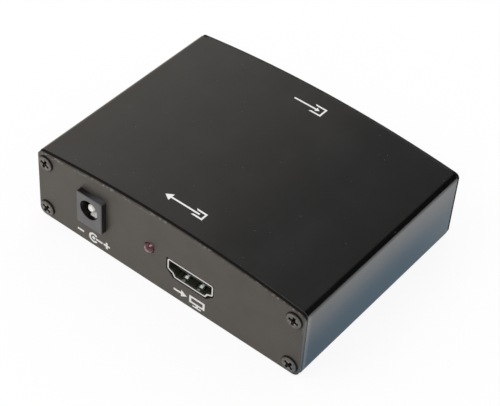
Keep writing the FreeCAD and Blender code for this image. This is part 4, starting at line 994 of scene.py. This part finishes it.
class CONVERTER_BOX_OT_board(bpy.types.Operator):
    """Finish the circuit board and the parts on it"""

    bl_idname = "converter_box.board"
    bl_label = "Circuit board"

    def execute(self, context):
        dress(board_finish(), "circuit_board")
        for name in ("converter_chip", "memory_chip", "audio_chip"):
            low = extent(name)[0]
            corner = (low.x + DIMPLE_INSET, low.y + DIMPLE_INSET)
            dress(chip_finish(name + "_body", corner), name)
        leads = brushed("chip_lead_tin", (0.66, 0.65, 0.63), 0.34, 0.1, (1, 1, 0.3))
        dress(leads, "converter_chip_leads", "memory_chip_leads", "audio_chip_leads")
        can = brushed("crystal_can", (0.72, 0.71, 0.69), 0.3, 0.2, (0.1, 1, 1), edge=0.1)
        dress(can, "clock_crystal")
        regulator = grained("regulator_body", (0.025, 0.025, 0.026), 0.5, size=0.12)
        dress(regulator, "voltage_regulators")
        ferrite = grained("coil_ferrite", (0.09, 0.09, 0.095), 0.6, metal=0.1, size=0.1, spread=0.3)
        dress(ferrite, "power_coil_core")
        dress(winding_finish(), "power_coil_winding")
        dress(can_finish(), "electrolytic_cans")
        dress(grained("can_base_plastic", (0.02, 0.02, 0.021), 0.5), "electrolytic_bases")
        dress(row_finish("ceramic_body", "ceramic_capacitors", (0.42, 0.3, 0.18)),
              "ceramic_capacitors")
        dress(row_finish("resistor_body", "resistors", (0.02, 0.02, 0.02)), "resistors")
        return {"FINISHED"}


class CONVERTER_BOX_OT_marks(bpy.types.Operator):
    """Print the plain signs beside the sockets and on the top"""

    bl_idname = "converter_box.marks"
    bl_label = "Printed signs"

    def execute(self, context):
        settings = context.scene.converter_box_marks
        ink = ink_finish(settings)
        line = settings.line_width / MM
        bold = line * PANEL_SIGN_WEIGHT
        low, high = extent("case_sleeve")
        inset = settings.top_sign_inset / MM
        add_mark("input_sign", input_sign(line), on_top(-0.35, high.y - inset), ink)
        add_mark("output_sign", output_sign(line), on_top(-0.1, low.y + inset, True), ink)
        level = settings.panel_sign_height / MM
        spots = (
            ("power_sign", polarity_sign, "dc_jack_centre_pin", "front"),
            ("digital_sign", to_screen_sign, "hdmi_shell", "front"),
            ("analogue_sign", from_screen_sign, "vga_shell", "back"),
            ("sound_sign", sound_sign, "audio_jack_nose", "back"),
        )
        for name, sign, node, facing in spots:
            low, high = extent(node)
            add_mark(name, sign(bold), on_panel((low.x + high.x) / 2, level, facing), ink)
        return {"FINISHED"}


class CONVERTER_BOX_OT_studio(bpy.types.Operator):
    """Set up the plain floor, the soft light and the camera"""

    bl_idname = "converter_box.studio"
    bl_label = "Studio"

    def execute(self, context):
        settings = context.scene.converter_box_studio
        context.scene.view_settings.view_transform = "Standard"
        add_camera(context.scene, settings)
        add_floor(settings)
        light_world(context.scene, settings)
        for name, place, share in LAMPS:
            add_lamp(name, place, settings.key_power * share)
        return {"FINISHED"}


# Studio


def add_camera(scene, settings):
    """A camera where the photograph was taken from, with its focal length."""
    lens = bpy.data.cameras.new("camera")
    lens.sensor_width = 36
    lens.lens = settings.lens
    lens.clip_start, lens.clip_end = 0.01, 20
    camera = bpy.data.objects.new("camera", lens)
    camera.location = settings.camera_place
    camera.rotation_euler = settings.camera_turn
    scene.collection.objects.link(camera)
    scene.camera = camera


def ray_kinds(nodes):
    """Signals that are 1 for rays from the camera, mirrored ones and ones through glass."""
    outputs = nodes.node("ShaderNodeLightPath").socket.node.outputs
    kinds = ("Is Camera Ray", "Is Glossy Ray", "Is Transmission Ray")
    return [Signal(nodes, outputs[kind]) for kind in kinds]


def add_floor(settings):
    """A plain pale floor that shows as white, keeps a shadow, and tints what mirrors it."""
    mesh = bpy.data.meshes.new("floor")
    far = FLOOR_REACH
    mesh.from_pydata([(x, y, 0) for x, y in bar(-far, -far, far, far)], [], [(0, 1, 2, 3)])
    floor = bpy.data.objects.new("floor", mesh)
    bpy.context.scene.collection.objects.link(floor)
    material = bpy.data.materials.new("floor_paper")
    material.use_nodes = True
    nodes = Nodes(material.node_tree)
    camera, glossy, through = ray_kinds(nodes)
    x, y, _ = nodes.millimetres()
    warm_dim = toned(settings.warm_side, 0.81)
    cool_near = toned(settings.cool_side, 0.88)
    warm_floor = nodes.mix(settings.warm_side, warm_dim, nodes.ease(x, *WARM_DARKENS_X))
    cool_floor = nodes.layer(
        cool_near,
        (settings.cool_side, nodes.ease(y, *COOL_BRIGHTENS_Y)),
        (settings.cool_back, nodes.ease(y, *COOL_PALES_Y)),
        ((1, 1, 1), nodes.ease(x, *WHITE_BEGINS_X)),
    )
    white, warm, cool = (
        nodes.node("ShaderNodeEmission", None, {"Color": colour, "Strength": 1})
        for colour in ((1, 1, 1), warm_floor, cool_floor)
    )
    sides = {0: nodes.ease(x, *COOL_BEGINS_X), 1: warm, 2: cool}
    mirrored = nodes.node("ShaderNodeMixShader", None, sides)
    glow = nodes.node("ShaderNodeMixShader", None, {0: glossy, 1: white, 2: mirrored})
    share = (camera | through) * GLOW_SEEN | glossy * GLOW_MIRRORED
    paper = nodes.node("ShaderNodeBsdfDiffuse", None, {"Color": settings.floor_colour})
    surface = nodes.node("ShaderNodeMixShader", None, {0: share, 1: paper, 2: glow})
    nodes.node("ShaderNodeOutputMaterial", None, {"Surface": surface})
    mesh.materials.append(material)


def light_world(scene, settings):
    """Even light, white behind the object, and pale sides at the left and front to reflect."""
    world = bpy.data.worlds.new("studio")
    world.use_nodes = True
    scene.world = world
    nodes = Nodes(world.node_tree)
    camera, glossy, through = ray_kinds(nodes)
    across, along, _ = nodes.split(nodes.node("ShaderNodeTexCoord", output="Generated"))
    left, front = nodes.ease(across, *LEFT_WINDOW_X), nodes.ease(along, *FRONT_WINDOW_Y)
    white = camera | through
    pale = left * settings.window | front * settings.front_window
    light = glossy * (ROOM_GLOW + pale) + (1 - glossy) * settings.fill
    strength = white + (1 - white) * light
    colour = nodes.mix((1, 1, 1), settings.warm_side, glossy * left)
    back = nodes.node("ShaderNodeBackground", None, {"Color": colour, "Strength": strength})
    nodes.node("ShaderNodeOutputWorld", None, {"Surface": back})


def add_lamp(name, place, power):
    """A square soft lamp that points at the middle of the object and isn't mirrored by it."""
    light = bpy.data.lights.new(name, "AREA")
    light.size = LAMP_SIZE
    light.energy = power
    lamp = bpy.data.objects.new(name, light)
    lamp.location = place
    middle = (CAD_BOX[0] + CAD_BOX[1]) / 2
    lamp.rotation_euler = (middle - Vector(place)).to_track_quat("-Z", "Y").to_euler()
    lamp.visible_glossy = False
    bpy.context.scene.collection.objects.link(lamp)


# Registration and run


STEPS = (
    CONVERTER_BOX_OT_case,
    CONVERTER_BOX_OT_screws,
    CONVERTER_BOX_OT_jacks,
    CONVERTER_BOX_OT_lamp,
    CONVERTER_BOX_OT_ports,
    CONVERTER_BOX_OT_board,
    CONVERTER_BOX_OT_marks,
    CONVERTER_BOX_OT_studio,
)
SETTINGS = {
    "converter_box_finishes": ConverterBoxFinishes,
    "converter_box_marks": ConverterBoxMarks,
    "converter_box_studio": ConverterBoxStudio,
}


class VIEW3D_PT_converter_box(bpy.types.Panel):
    """Settings and steps of the converter box"""

    bl_label = "Converter Box"
    bl_idname = "VIEW3D_PT_converter_box"
    bl_space_type = "VIEW_3D"
    bl_region_type = "UI"
    bl_category = "Converter Box"

    def draw(self, context):
        for name, group in SETTINGS.items():
            box = self.layout.box()
            for setting in group.__annotations__:
                box.prop(getattr(context.scene, name), setting)
        for step in STEPS:
            self.layout.operator(step.bl_idname)


CLASSES = (*SETTINGS.values(), *STEPS, VIEW3D_PT_converter_box)


def register():
    for item in CLASSES:
        bpy.utils.register_class(item)
    for name, group in SETTINGS.items():
        setattr(bpy.types.Scene, name, bpy.props.PointerProperty(type=group))


def unregister():
    for name in SETTINGS:
        delattr(bpy.types.Scene, name)
    for item in reversed(CLASSES):
        bpy.utils.unregister_class(item)


def main():
    """Run every step in order."""
    register()
    for step in STEPS:
        family, name = step.bl_idname.split(".")
        getattr(getattr(bpy.ops, family), name)()


if __name__ == "__main__":
    main()
